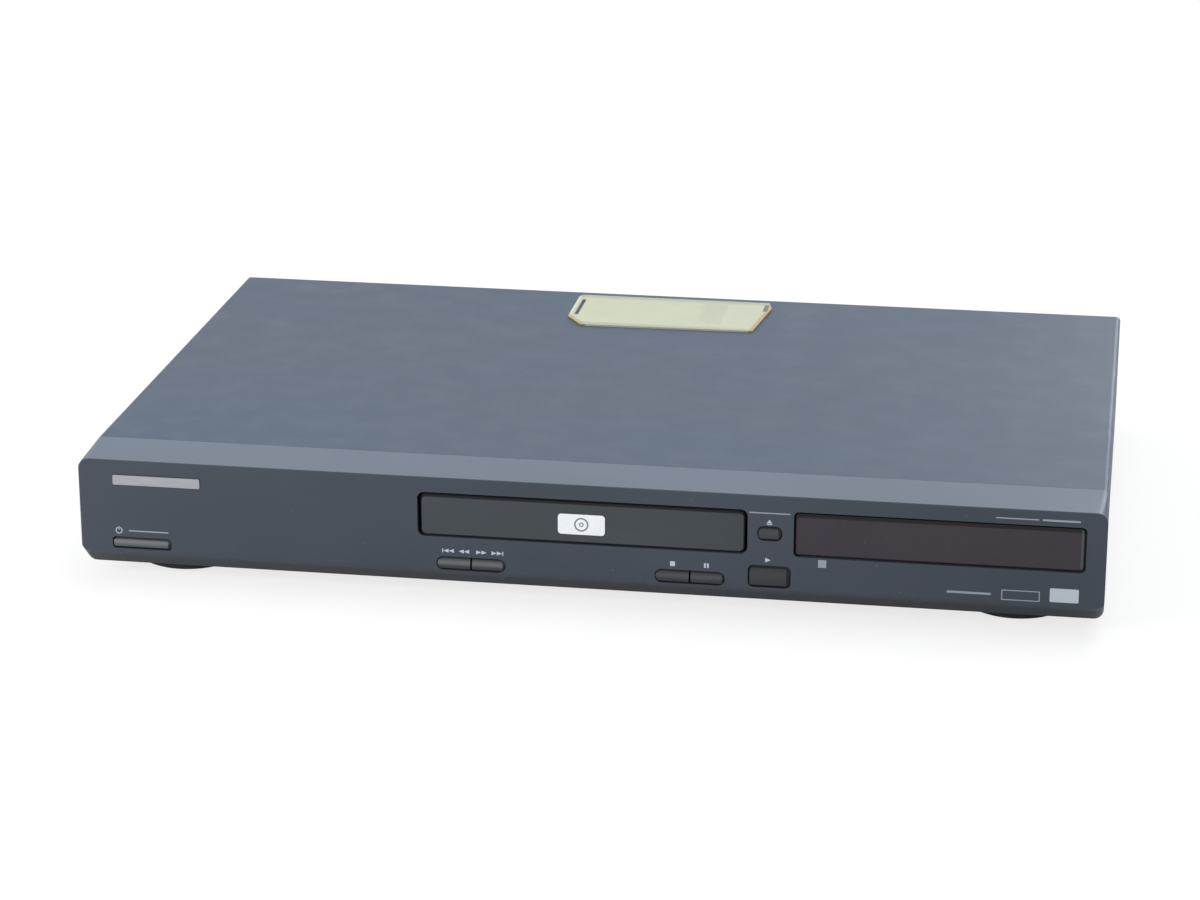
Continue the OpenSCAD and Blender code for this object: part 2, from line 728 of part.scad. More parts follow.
module front_fascia() color(panel_c) {
    difference() {
        panel_form(0);
        panel_form(panel_t);
        // The pan's front edge lies in the open bottom
        block([panel_t + low_rim - half_w, y_face + lip_back + panel_t, z_floor - cut],
            [half_w - panel_t - low_rim, y_panel1 + cut, z_floor + panel_t + cut]);
        along_y(y_face - cut, y_wall + cut) {
            tray_opening(0);
            translate([window_cx, window_cz]) rounded(window_w, window_h, window_r);
            button_hole(standby_x, standby_z, standby_w, standby_h, standby_r);
            for (x = [prev_x, stop_x]) button_hole(x + low_button_pitch / 2, low_row_z,
                low_button_pitch + low_button_w, low_button_h, low_button_h / 2);
            button_hole(open_x, z_open_button, open_button_w, open_button_h, open_button_r);
            button_hole(play_x, z_play_button, play_button_w, play_button_h, play_button_r);
        }
        // Nameplate recess
        along_y(y_face - cut, y_face + name_in) translate([name_x, name_z])
            rounded(name_w + 2 * name_gap, name_h + 2 * name_gap, 0.6);
    }
    // Bosses that carry the two front boards
    for (p = concat(front_posts, standby_posts)) difference() {
        bar_y(p[0], y_wall - weld, board_y0, p[1], boss_r);
        bar_y(p[0], board_y0 - front_screw_l, board_y0 + cut, p[1], screw_r + thread_gap);
    }
    // Frame rib round the tray opening
    along_y(y_wall - weld, y_wall + rib_h) difference() {
        tray_opening(rib_out + rib_t);
        tray_opening(rib_out);
    }
}

module nameplate() color(white_c) along_y(y_face - name_proud, y_face + name_in)
    translate([name_x, name_z]) rounded(name_w, name_h, 0.5);

module display_window() color([0.25, 0.22, 0.22], 0.6) translate([window_cx, 0, window_cz]) {
    bevelled(window_w - 2 * pane_gap, window_h - 2 * pane_gap, window_r - pane_gap,
        y_face + pane_in, y_wall + weld, pane_bevel);
    along_y(y_wall, y_wall + pane_rim_t)
        rounded(window_w + 2 * pane_rim, window_h + 2 * pane_rim, window_r);
}

// The blank plastic tag at the rear of the cover, with two cut corners and a slot at its left end
module top_label() color(white_c) translate([label_x, y_cover1 - label_in - label_d]) difference() {
    along_z(z_top, z_top + label_t) polygon(concat(
        [[-label_w / 2, label_front_left[1]], [label_front_left[0] - label_w / 2, 0],
            [label_w / 2 - label_front_right[0], label_front_right[1]],
            [label_w / 2, label_d - label_rear_right[1]], [label_w / 2 - label_rear_right[0], label_d]],
        arc([label_r - label_w / 2, label_d - label_r], label_r, 90, 180, 6)));
    along_z(z_top - cut, z_top + label_t + cut) slot([label_slot[0] - label_w / 2, label_slot[1]],
        [label_slot[0] - label_w / 2, label_d - label_slot[1] / 2], label_slot[2]);
}

// A round foot with a sunk seat for its screw
module foot() rotate_extrude($fn = 64) polygon([
    [screw_r + hole_gap, foot_h], [screw_r + hole_gap, foot_seat], [foot_sink_r, foot_seat],
    [foot_sink_r, foot_edge], [foot_sink_r + 2 * foot_edge, 0], [foot_d / 2 - 3 * foot_edge, 0],
    [foot_d / 2 - foot_edge, foot_edge], [foot_d / 2, foot_h]]);

module feet(y) for (x = [-foot_x, foot_x]) translate([x, y, 0]) foot();

module front_feet() color(dark_c) feet(foot_y[0]);

module rear_feet() color(dark_c) feet(foot_y[1]);

module foot_screws() color(steel_c) for (x = [-foot_x, foot_x], y = foot_y)
    translate([x, y, foot_seat]) mirror([0, 0, 1]) screw_z(0, 0, 0, foot_screw_l);

module cover_screws() color(steel_c) for (side = [0, 1], y = cover_screw_y)
    in_cover_side(side, y) difference() {
        sunk_screw(cover_screw_l, 0);
        cross_slot(2.2 * screw_r);
    }

module rear_screws() color(steel_c) for (x = rear_screw_x)
    translate([x, y_cover1, z_rear_screw]) rotate([-90, 0, 0]) screw_z(0, 0, 0, rear_screw_l);

module loader_screws() color(steel_c) for (s = [-1, 1], y = ear_y)
    screw_z(s * ear_x, y, z_load + ear_t, loader_screw_l);

module board_screws() color(steel_c) {
    for (p = concat(power_posts, main_posts)) screw_z(p[0], p[1], z_board1, board_screw_l);
    for (p = concat(front_posts, standby_posts)) translate([p[0], board_y1, p[1]])
        rotate([-90, 0, 0]) screw_z(0, 0, 0, front_screw_l);
}

// Front boards ---------------------------------------------------------------

module front_board() color(green_c) difference() {
    along_y(board_y0, board_y1) polygon([[front_board_x[0], front_board_z[0]],
        [front_board_x[2], front_board_z[0]], [front_board_x[2], front_board_z[2]],
        [front_board_x[1], front_board_z[2]], [front_board_x[1], front_board_z[1]],
        [front_board_x[0], front_board_z[1]]]);
    for (p = front_posts)
        bar_y(p[0], board_y0 - cut, board_y1 + cut, p[1], screw_r + hole_gap);
}

module standby_board() color(green_c) difference() {
    along_y(board_y0, board_y1) translate([standby_x, z_face0 + 7])
        square([standby_board_w, standby_board_h], center = true);
    for (p = standby_posts)
        bar_y(p[0], board_y0 - cut, board_y1 + cut, p[1], screw_r + hole_gap);
}

module tact_switches() color(dark_c) for (p = switch_places) translate([p[0], 0, p[1]]) {
    along_y(switch_y0, board_y0) rounded(switch_w, switch_w, 0.5);
    bar_y(0, plunger_y0, switch_y0, 0, plunger_r);
}

module display_tube() color([0.2, 0.3, 0.3]) translate([window_cx, 0, window_cz]) {
    along_y(board_y0 - tube_d, board_y0) rounded(window_w - 2 * tube_in, window_h - 3, 1);
    // Sealed tip of the glass
    bar_x(tube_in - 5 - window_w / 2, tube_in + weld - window_w / 2, board_y0 - tube_d / 2, 0, 1.2);
}

// A cap's outline: round at both ends, or square at the end where its neighbour lies
module cap_outline(w, h, r, square_end) {
    rounded(w, h, r);
    if (square_end != 0) translate([square_end * w / 4, 0]) square([w / 2, h], center = true);
}

// A bevelled cap with a flange behind the face and a stem that reaches the switch
module button(x, z, w, h, r, square_end = 0) translate([x, 0, z]) {
    y_cap = y_face + button_in;
    y_flange = y_wall + flange_gap;
    intersection() {
        along_y(y_cap, y_flange + weld) cap_outline(w, h, r, square_end);
        // A slope at the top, a flat face and a small edge at the bottom
        along_x(-w, w) polygon([[y_cap + cap_bevel, h], [y_cap + cap_bevel, h / 2],
            [y_cap + cap_edge / 2, h / 8], [y_cap, h / 8 - cap_edge], [y_cap, cap_edge - h / 2],
            [y_cap + cap_edge, -h / 2], [y_cap + cap_edge, -h], [y_wall + cut, -h],
            [y_wall + cut, h]]);
    }
    along_y(y_flange, y_flange + button_flange_t) rounded(w, h + 2 * flange_over, min(r, 1));
    along_y(y_flange + button_flange_t - weld, y_stem) {
        square([stem_w, stem_t], center = true);
        square([stem_t, stem_w], center = true);
    }
}

module low_button(x, square_end)
    button(x, low_row_z, low_button_w, low_button_h, low_button_h / 2 - 0.01, square_end);

module standby_button() color(panel_c)
    button(standby_x, standby_z, standby_w, standby_h, standby_r);

module previous_button() color(panel_c) low_button(prev_x, 1);

module next_button() color(panel_c) low_button(next_x, -1);

module stop_button() color(panel_c) low_button(stop_x, 1);

module pause_button() color(panel_c) low_button(pause_x, -1);

module open_button() color(panel_c)
    button(open_x, z_open_button, open_button_w, open_button_h, open_button_r);

module play_button() color(panel_c)
    button(play_x, z_play_button, play_button_w, play_button_h, play_button_r);

// Electronics ------------------------------------------------------------------

module main_board() color(green_c) difference() {
    along_z(z_board, z_board1) polygon([[main_x0, main_y0], [main_x1, main_y0],
        [main_x1, board_rear], [main_back_x0, board_rear], [main_back_x0, main_back_y0],
        [main_x0, main_back_y0]]);
    for (p = main_posts) bar_z(p[0], p[1], z_board - cut, z_board1 + cut, screw_r + hole_gap);
}

// A flat chip with a row of gull-wing legs along each side
module chip(x, y, w, pins) translate([x, y, z_board1]) {
    translate([0, 0, chip_lift]) linear_extrude(chip_h) rounded(w, w, 0.6);
    for (turn = [0, 90, 180, 270], k = [0:pins - 1]) rotate(turn)
        translate([w / 2 - 0.3, (k - (pins - 1) / 2) * w / (pins + 1) - chip_leg[1] / 2, 0])
            cube(chip_leg);
}

module main_chips() color(dark_c) {
    for (c = chips)
        chip(main_x0 + c[0] * (main_x1 - main_x0), main_y0 + c[1] * (board_rear - main_y0), c[2], c[3]);
    for (k = [0:2]) translate([main_back_x0 + 30 + 22 * k, main_back_y0 + 12, z_board1])
        linear_extrude(3) rounded(14, 8, 0.5);
}

module power_board() color([0.62, 0.48, 0.26]) difference() {
    block([power_x0, power_y0, z_board], [power_x1, board_rear, z_board1]);
    for (p = power_posts) bar_z(p[0], p[1], z_board - cut, z_board1 + cut, screw_r + hole_gap);
}

// A switching transformer: an E-core round a wound bobbin
module transformer() color([0.75, 0.6, 0.15]) translate([power_cx + 6, power_y(0.56), z_board1]) {
    core_l = 32;
    core_w = 30;
    core_h = 24;
    core_z = 2;
    window_w = 7;
    window_h = 16;
    end_t = 4;
    along_x(-core_l / 2, core_l / 2) translate([0, core_z + core_h / 2]) difference() {
        square([core_w, core_h], center = true);
        for (s = [-1, 1]) translate([s * core_w / 4, 0]) square([window_w, window_h], center = true);
    }
    // The bobbin's ends, the two sides of its coil and its pins
    for (s = [-1, 1]) translate([s * (core_l / 2 + end_t), 0, 0])
        linear_extrude(core_h - end_t) rounded(end_t, core_w - 8, 1);
    for (s = [-1, 1]) translate([0, s * core_w / 4, core_z + (core_h - window_h) / 2 + 1])
        linear_extrude(window_h - 2) rounded(core_l + 10, window_w - 1, 1.5);
    for (s = [-1, 1], y = [-12, 12]) translate([s * (core_l / 2 - 2), y, 0])
        cylinder(h = core_z, r = 1, $fn = 24);
}

// Place along the power board as a share of its length
function power_y(share) = power_y0 + share * (board_rear - power_y0);

module capacitors() color([0.15, 0.2, 0.35]) for (c = cans)
    translate([power_cx + c[0], power_y(c[1]), z_board1]) rotate_extrude($fn = 48)
        polygon([[0, 0], [c[2], 0], [c[2], c[3] * 0.08], [c[2] - 0.5, c[3] * 0.12],
            [c[2], c[3] * 0.16], [c[2], c[3] - 0.6], [c[2] - 0.6, c[3]], [0, c[3]]]);

module heat_sinks() color(steel_c) for (y = [power_y(0.2), y_back - inlet_d - 3]) {
    sink_w = 34;
    fin_pitch = 5;
    translate([power_cx - 6, y, z_board1]) linear_extrude(26) {
        square([sink_w, 2], center = true);
        for (k = [-3:3]) translate([fin_pitch * k, -3]) square([1, 7], center = true);
    }
}

module mains_inlet() color(dark_c) translate([inlet_x, 0, z_inlet]) {
    difference() {
        union() {
            along_y(y_back - inlet_d, y_back + 1) rounded(inlet_w, inlet_h, inlet_r);
            along_y(y_back - inlet_d, y_back - pan_t - weld) translate([0, -0.3])
                square([25, 16.4], center = true);
        }
        along_y(y_back - inlet_hole_d, y_back + 1 + cut) {
            for (s = [-1, 1]) translate([s * inlet_hole_x, 0]) circle(r = inlet_hole_r, $fn = 32);
            square([2 * inlet_hole_x, 2 * inlet_hole_r - 3], center = true);
        }
    }
    // Contact pins
    for (s = [-1, 1])
        bar_y(s * inlet_pin_x, y_back - inlet_hole_d - weld, y_back - 1, 0, inlet_pin_r);
}

module phono_barrels() color(steel_c) for (x = phono_x, z = z_phono) difference() {
    y_in = y_back - pan_t - weld;
    union() {
        bar_y(x, y_in, y_back + 0.6, z, phono_r - socket_gap);
        bar_y(x, y_back + 0.5, y_back + socket_out, z, phono_r);
        bar_y(x, y_in - 1, y_in, z, phono_r + barrel_flange);
    }
    bar_y(x, y_in - 1 - cut, y_back + socket_out + cut, z, phono_r - barrel_t);
}

module phono_housings() color([0.85, 0.15, 0.12]) for (x = phono_x) {
    height = z_phono[1] + 6 - z_board1;
    y_in = y_back - pan_t - weld - 1;
    along_y(board_rear - socket_d, y_in) translate([x, z_board1 + height / 2])
        rounded(phono_pitch - 1.5, height, 0.8);
    for (z = z_phono) difference() {
        bar_y(x, y_in - 0.1, y_back + socket_out - 1.6, z, phono_r - barrel_t - 0.05);
        bar_y(x, y_back - 2, y_back + socket_out, z, pin_hole_r);
    }
}

module s_video_socket() color(dark_c) translate([s_video_x, 0, z_phono[0]]) difference() {
    union() {
        along_y(board_rear - socket_d, y_back - pan_t - weld)
            rounded(14, 2 * (z_phono[0] - z_board1), 0.8);
        bar_y(0, y_back - pan_t - weld - 0.1, y_back + 1.5, 0, s_video_r);
    }
    // The ring that takes the plug's shell, round the block of contacts
    difference() {
        bar_y(0, y_back - 5, y_back + 1.5 + cut, 0, s_video_r - 1.5);
        bar_y(0, y_back - 5 - cut, y_back + 0.5, 0, 1.2);
    }
}

module optical_socket() color(dark_c) translate([optical_x, 0, z_phono[0]]) difference() {
    union() {
        along_y(board_rear - socket_d, y_back - pan_t - weld)
            rounded(13, 2 * (z_phono[0] - z_board1), 0.8);
        along_y(y_back - pan_t - weld - 0.1, y_back + 1.2) rounded(optical_w, optical_w, 0.9);
    }
    along_y(y_back - socket_d, y_back + 1.2 + cut) rounded(optical_w - 3.4, optical_w - 3.4, 0.8);
}

// Flat cables: front board to main board, and power board to main board behind the loader
module flat_cables() color(white_c) {
    along_x(main_x0 + 41, main_x0 + 67) polygon(bent_sheet([[board_y1, z_load + 4],
        [board_y1 + 8, z_load + 4], [board_y1 + 20, z_board1 + 8], [main_y0 + 4, z_board1 + 8],
        [main_y0 + 8, z_board1 + 5], [main_y0 + 8, z_board1]], cable_t));
    along_y(main_back_y0 + 30, main_back_y0 + 48) polygon(bent_sheet([[power_x1 - 8, z_board1],
        [power_x1 - 8, z_board1 + 6], [power_x1 - 4, z_board1 + 9], [main_back_x0 + 4, z_board1 + 9],
        [main_back_x0 + 8, z_board1 + 6], [main_back_x0 + 8, z_board1]], cable_t));
}

// Disc loader --------------------------------------------------------------------

module loader_frame() color(dark_c) {
    wall_in = loader_x - loader_wall;
    hook_y = cam_y0 - cam_foot[0] - cam_gap;
    hook_z = z_deck + cam_foot[1] + cam_gap;
    difference() {
        union() {
            for (s = [0, 1]) mirror([s, 0, 0]) {
                // Side wall with the two ledges that guide the tray's tongue
                along_y(loader_y0, loader_y1) polygon([[wall_in, z_load], [loader_x, z_load],
                    [loader_x, z_load + frame_h], [wall_in, z_load + frame_h],
                    [wall_in, z_rail1 + ledge_t], [rail_x, z_rail1 + ledge_t], [rail_x, z_rail1],
                    [wall_in, z_rail1], [wall_in, z_rail0], [rail_x, z_rail0],
                    [rail_x, z_rail0 - ledge_t], [wall_in, z_rail0 - ledge_t]]);
                // Post that carries the clamp bridge, with the pins that hold it
                block([wall_in, disc_cy - bridge_w / 2, z_load + frame_h - 1],
                    [loader_x, disc_cy + bridge_w / 2, z_bridge]);
                block([loader_x - bridge_pad[0], disc_cy - bridge_w / 2, z_bridge - bridge_pad[1]],
                    [loader_x, disc_cy + bridge_w / 2, z_bridge]);
                for (dy = [-bridge_pin[1], bridge_pin[1]]) bar_z(loader_x - bridge_pin[0],
                    disc_cy + dy, z_bridge - 1, z_bridge + bridge_t + 0.6, bridge_pin_r);
                // Floor strip beside the traverse
                block([bay_x, deck_y1 - 1, z_load], [loader_x - 1, loader_y1, z_load + floor_t]);
                // Bearing block of the traverse's hinge
                along_x(trav_x + 1.5, bay_x + 3) polygon([[hinge_y - 7, z_load], [hinge_y + 7, z_load],
                    [hinge_y + 3.6, z_hinge + 3.4], [hinge_y - 3.6, z_hinge + 3.4]]);
                // Ears on the pan's posts, each with a gusset
                for (y = ear_y) {
                    bar_z(ear_x, y, z_load, z_load + ear_t, ear_r);
                    block([loader_x - 1, y - ear_r, z_load], [ear_x, y + ear_r, z_load + ear_t]);
                    along_y(y - 0.8, y + 0.8) polygon([[loader_x - 0.5, z_load + 2.5],
                        [loader_x + 1, z_load + 2.5], [loader_x, z_load + 14],
                        [loader_x - 0.5, z_load + 14]]);
                }
                // Legs under the deck's rear corners
                block([bay_x + 1, deck_y1 - 1, z_load], [bay_x + 3, deck_y1 + 1, z_deck]);
            }
            // Rear cross-member
            block([1 - loader_x, hinge_y + 10, z_load], [loader_x - 1, loader_y1, z_load + floor_t]);
            block([1 - loader_x, loader_y1 - floor_t, z_load], [loader_x - 1, loader_y1, z_load + 12]);
            // Front deck under the gears, with a skirt at its front edge
            block([1 - loader_x, loader_y0, z_deck - floor_t], [loader_x - 1, deck_y1, z_deck]);
            block([1 - loader_x, loader_y0, z_load], [loader_x - 1, loader_y0 + 1.6, z_deck]);
            bar_z(drive_x, gear_y, z_deck - 1, z_pinion1, pin_r);
            bar_z(pulley_x, gear_y, z_deck - 1, z_wheel + gear_t, pin_r);
            // Hooks that hold the cam slide down on the deck
            for (x = hook_x) along_x(x - hook_w / 2, x + hook_w / 2) polygon([
                [hook_y - hook_t, z_deck - 1], [hook_y, z_deck - 1], [hook_y, hook_z],
                [cam_y0 - 1, hook_z], [cam_y0 - 1, hook_z + hook_t],
                [hook_y - hook_t, hook_z + hook_t]]);
        }
        for (s = [-1, 1], y = ear_y)
            bar_z(s * ear_x, y, z_load - cut, z_load + ear_t + cut, screw_r + hole_gap);
        for (s = [0, 1]) mirror([s, 0, 0])
            bar_x(trav_x, bay_x + 3 + cut, hinge_y, z_hinge, hinge_r + shaft_gap);
        bar_z(motor_x, gear_y, z_deck - floor_t - cut, z_deck + cut, motor_neck_r + 0.6);
    }
}

module clamp_bridge() color(steel_c) difference() {
    union() {
        along_z(z_bridge, z_bridge + bridge_t) translate([0, disc_cy])
            rounded(2 * loader_x, bridge_w, 2);
        // Flanges folded up along both edges
        for (s = [-1, 1], side = [-1, 1])
            translate([side * (loader_x / 2 + 3), disc_cy + s * (bridge_w - bridge_t) / 2, z_bridge])
                translate([0, 0, 1.2]) cube([loader_x - 26, bridge_t, 2.4], center = true);
    }
    bar_z(0, disc_cy, z_bridge - cut, z_bridge + bridge_t + cut, clamp_neck_r + 1);
    for (s = [-1, 1], dy = [-bridge_pin[1], bridge_pin[1]]) bar_z(s * (loader_x - bridge_pin[0]),
        disc_cy + dy, z_bridge - cut, z_bridge + bridge_t + cut, bridge_pin_r + 0.1);
}

module clamper() color(dark_c) translate([0, disc_cy, 0]) rotate_extrude($fn = 96)
    polygon([[0, z_clamp + 1.4], [hub_r + 0.75, z_clamp + 1.4], [hub_r + 0.75, z_clamp],
        [seat_r - 1, z_clamp],
        [seat_r, z_clamp + 0.6], [seat_r, z_clamp + 2], [clamp_neck_r, z_clamp + 2.6],
        [clamp_neck_r, z_bridge + bridge_t + 0.2], [clamp_flange_r, z_bridge + bridge_t + 0.2],
        [clamp_flange_r, z_bridge + bridge_t + 1.4], [clamp_flange_r - 2, z_bridge + bridge_t + 1.8],
        [0, z_bridge + bridge_t + 1.8]]);

module loading_motor() color(steel_c) {
    bar_z(motor_x, gear_y, z_pan + 1, z_deck - floor_t, motor_r);
    bar_z(motor_x, gear_y, z_deck - floor_t - 0.01, z_deck - 0.6, motor_neck_r);
    bar_z(motor_x, gear_y, z_deck - 1, z_pulley + pulley_h, motor_shaft_r);
}

// Outline of a belt round two pulleys that lie on the X axis
function belt_outline(r0, r1, d) = let (lean = acos((r0 - r1) / d)) concat(
    arc([0, 0], r0, lean, 360 - lean, 32), arc([d, 0], r1, -lean, lean, 16));

module drive_belt() color(dark_c) translate([pulley_x, gear_y, z_belt]) linear_extrude(belt_h)
    difference() {
        polygon(belt_outline(pulley_r + belt_gap + belt_t, motor_pulley_r + belt_gap + belt_t,
            motor_x - pulley_x));
        polygon(belt_outline(pulley_r + belt_gap, motor_pulley_r + belt_gap, motor_x - pulley_x));
    }

// A grooved pulley with a bore
module pulley(r, bore) rotate_extrude($fn = 72) polygon([[bore, 0], [r + pulley_rim, 0],
    [r + pulley_rim, pulley_lip], [r, pulley_lip + groove], [r, pulley_h - pulley_lip - groove],
    [r + pulley_rim, pulley_h - pulley_lip], [r + pulley_rim, pulley_h], [bore, pulley_h]]);

module motor_pulley() color([0.8, 0.7, 0.4]) translate([motor_x, gear_y, z_pulley])
    pulley(motor_pulley_r, motor_shaft_r + shaft_gap);

module pulley_gear() color(white_c) translate([pulley_x, gear_y, 0]) difference() {
    union() {
        translate([0, 0, z_pulley]) pulley(pulley_r, pin_r + shaft_gap);
        along_z(z_pulley + pulley_h - 0.1, z_wheel + gear_t)
            gear(drive_m, pulley_z, 180 + 180 / pulley_z);
    }
    bar_z(0, 0, z_pulley - cut, z_wheel + gear_t + cut, pin_r + shaft_gap);
}

module drive_gear() color(white_c) translate([drive_x, gear_y, 0]) difference() {
    union() {
        bar_z(0, 0, z_deck + 0.2, z_pinion + 0.2, wheel_hub_r);
        along_z(z_wheel, z_wheel + gear_t) gear(drive_m, wheel_z, 0);
        along_z(z_pinion, z_pinion1) gear(drive_m, pinion_z, 180 + 180 / pinion_z);
    }
    bar_z(0, 0, z_deck - cut, z_pinion1 + cut, pin_r + shaft_gap);
}

module tray_outline() polygon(concat(
    arc([tray_w / 2 - tray_r, tray_y1 - tray_r], tray_r, 0, 90, 6), [[slot_w / 2 + lobe_r, tray_y1]],
    arc([slot_w / 2 + lobe_r, tray_y1 - lobe_r], lobe_r, 90, 180, 4),
    [[slot_w / 2, disc_cy], [-slot_w / 2, disc_cy]],
    arc([-slot_w / 2 - lobe_r, tray_y1 - lobe_r], lobe_r, 0, 90, 4),
    arc([tray_r - tray_w / 2, tray_y1 - tray_r], tray_r, 90, 180, 6),
    [[-tray_w / 2, tray_y0], [tray_w / 2, tray_y0]]));

module disc_tray() color(dark_c) {
    difference() {
        union() {
            along_z(z_tray, z_tray1) tray_outline();
            // Tongues that run in the loader's rails
            for (x = [-tray_w / 2 - tongue_w, tray_w / 2 - 1]) block([x, loader_y0 + 1, z_tongue],
                [x + tongue_w + 1, tray_y1 - 4, z_tongue + tongue_h]);
        }
        bar_z(0, disc_cy, z_well, z_tray1 + cut, well_d / 2);
        bar_z(0, disc_cy, z_well - small_well_in, z_tray1 + cut, small_well_d / 2);
        bar_z(0, disc_cy, z_tray - cut, z_tray1 + cut, hub_hole_r);
        // Hollow underside, but for the walls beside the slot and the strip that carries the rack
        difference() {
            block([tray_wall - tray_w / 2, tray_y0 + tray_wall, z_tray - cut],
                [tray_w / 2 - tray_wall, tray_y1 - tray_wall, z_well - tray_floor]);
            for (s = [0, 1]) mirror([s, 0, 0]) block([slot_w / 2 - 1, disc_cy - 1, z_tray - 2 * cut],
                [slot_w / 2 + slot_wall, tray_y1, z_tray1]);
            block([rack_x - 6, tray_y0, z_tray - 2 * cut], [rack_x + 1, tray_y1, z_tray1]);
        }
        // Finger relief at the front of the well
        bar_z(0, tray_y0 + 6, z_well, z_tray1 + cut, relief_r);
    }
    translate([rack_x, gear_y, z_rack]) linear_extrude(z_tray - z_rack + 2 * weld)
        rack(drive_m, -rack_end, tray_travel + rack_end, rack_depth);
}

module tray_door() color(panel_c) difference() {
    translate([0, 0, z_door + door_h / 2])
        bevelled(door_w, door_h, door_r, y_face + door_in, tray_y0, door_bevel);
    // Hollow in the back face
    block([door_hollow[0] - door_w / 2, tray_y0 - door_hollow[1], z_door + door_hollow[2]],
        [door_w / 2 - door_hollow[0], tray_y0 + cut, z_tray - 0.4]);
}

module door_badge() color(white_c) along_y(y_face + door_in - badge_t, y_face + door_in)
    translate([0, z_door + door_h / 2 - 1]) rounded(badge_w, badge_h, 1.4);

module cam_slide() color(white_c) difference() {
    union() {
        block([cam_x[0], cam_y0, z_cam[0]], [cam_x[1], cam_y1, z_cam[1]]);
        // Foot on the deck, and the flange with the rack
        block([cam_x[0], cam_y0 - cam_foot[0], z_deck + cam_lift],
            [cam_x[1], cam_y0 + 0.5, z_deck + cam_foot[1]]);
        block([cam_rack_x, gear_y + 10, z_cam_rack - 1.6],
            [cam_rack_x + cam_rack_l, cam_y0 + 0.5, z_cam_rack]);
        translate([cam_rack_x, gear_y + drive_m * pinion_z / 2, z_pinion + weld])
            linear_extrude(z_cam_rack - z_pinion - weld) rotate(-90) rack(drive_m, 0, cam_rack_l, 2.4);
    }
    for (x = cam_pin_x) along_y(cam_y0 - cut, cam_y1 + cut) slot([x, z_cam_pin],
        [x - cam_travel, z_cam_pin - traverse_drop], cam_pin_r + cam_pin_gap);
}

module traverse_frame() color(dark_c) {
    mid_y = (trav_y0 + trav_y1) / 2;
    length = trav_y1 - trav_y0;
    difference() {
        union() {
            // A plate with a skirt round its edge
            along_z(z_trav1 - trav_t, z_trav1) translate([0, mid_y]) rounded(2 * trav_x, length, 3);
            along_z(z_trav0, z_trav1 - 1) translate([0, mid_y]) difference() {
                rounded(2 * trav_x, length, 3);
                square([2 * trav_x - 4, length - 4], center = true);
            }
            // Rod holders, hinge pins and cam pins
            for (s = [-1, 1], y = holder_y) block([s * rod_x - holder[0] / 2, y, z_rod - 2.6],
                [s * rod_x + holder[0] / 2, y + holder[1], z_trav1 - 1]);
            for (s = [0, 1]) mirror([s, 0, 0])
                bar_x(trav_x - 3, bay_x - 0.5, hinge_y, z_hinge, hinge_r);
            for (x = cam_pin_x) bar_y(x, cam_y0 + 0.2, trav_y0 + 1, z_cam_pin, cam_pin_r);
            // Arm that carries the feed wheel and hangs the feed motor
            block([feed_x - 6, feed_y - 7, z_feed_arm],
                [trav_x, feed_motor_y + 7, z_feed_arm + feed_arm_t]);
            block([trav_x - 2, feed_y - 7, z_feed_arm], [trav_x, feed_motor_y + 7, z_trav0 + 0.5]);
            bar_z(feed_x, feed_y, z_feed_arm, z_feed_pinion + 1.9, feed_pin_r);
        }
        // Opening for the pickup, hole for the spindle motor and seats of the rods
        block([3 - trav_x, pickup_y0 - 1.7, z_trav1 - trav_t - cut],
            [trav_x - 3, pickup_y0 + pickup_d + pickup_travel + 1.7, z_trav1 + cut]);
        bar_z(0, disc_cy, z_trav1 - trav_t - cut, z_trav1 + cut, spindle_r + 0.3);
        for (s = [-1, 1])
            bar_y(s * rod_x, holder_y[0] - cut, holder_y[1] + holder[1] + cut, z_rod, rod_r + 0.02);
        bar_z(feed_motor_x, feed_motor_y, z_feed_arm - cut, z_feed_arm + feed_arm_t + cut, 1.6);
    }
}

module guide_rods() color(steel_c) for (s = [-1, 1])
    bar_y(s * rod_x, holder_y[0], holder_y[1] + holder[1], z_rod, rod_r);

module spindle_motor() color(steel_c) {
    bar_z(0, disc_cy, z_trav0 + 0.5, z_seat - 2.6, spindle_r);
    along_z(z_trav1 - trav_t - 1.2, z_trav1 - trav_t) translate([0, disc_cy - 1.5])
        rounded(34, 30, 2);
    bar_z(0, disc_cy, z_seat - 3, z_seat - 0.4, spindle_shaft_r);
}

module turntable() color(dark_c) translate([0, disc_cy, z_seat]) rotate_extrude($fn = 96) polygon([
    [spindle_shaft_r + shaft_gap, -2.2], [seat_r - 1, -2.2], [seat_r, -1.6], [seat_r, 0], [hub_r, 0],
    [hub_r, 0.9], [hub_r - 1.2, 1.8], [0, 1.8], [0, -0.3], [spindle_shaft_r + shaft_gap, -0.3]]);

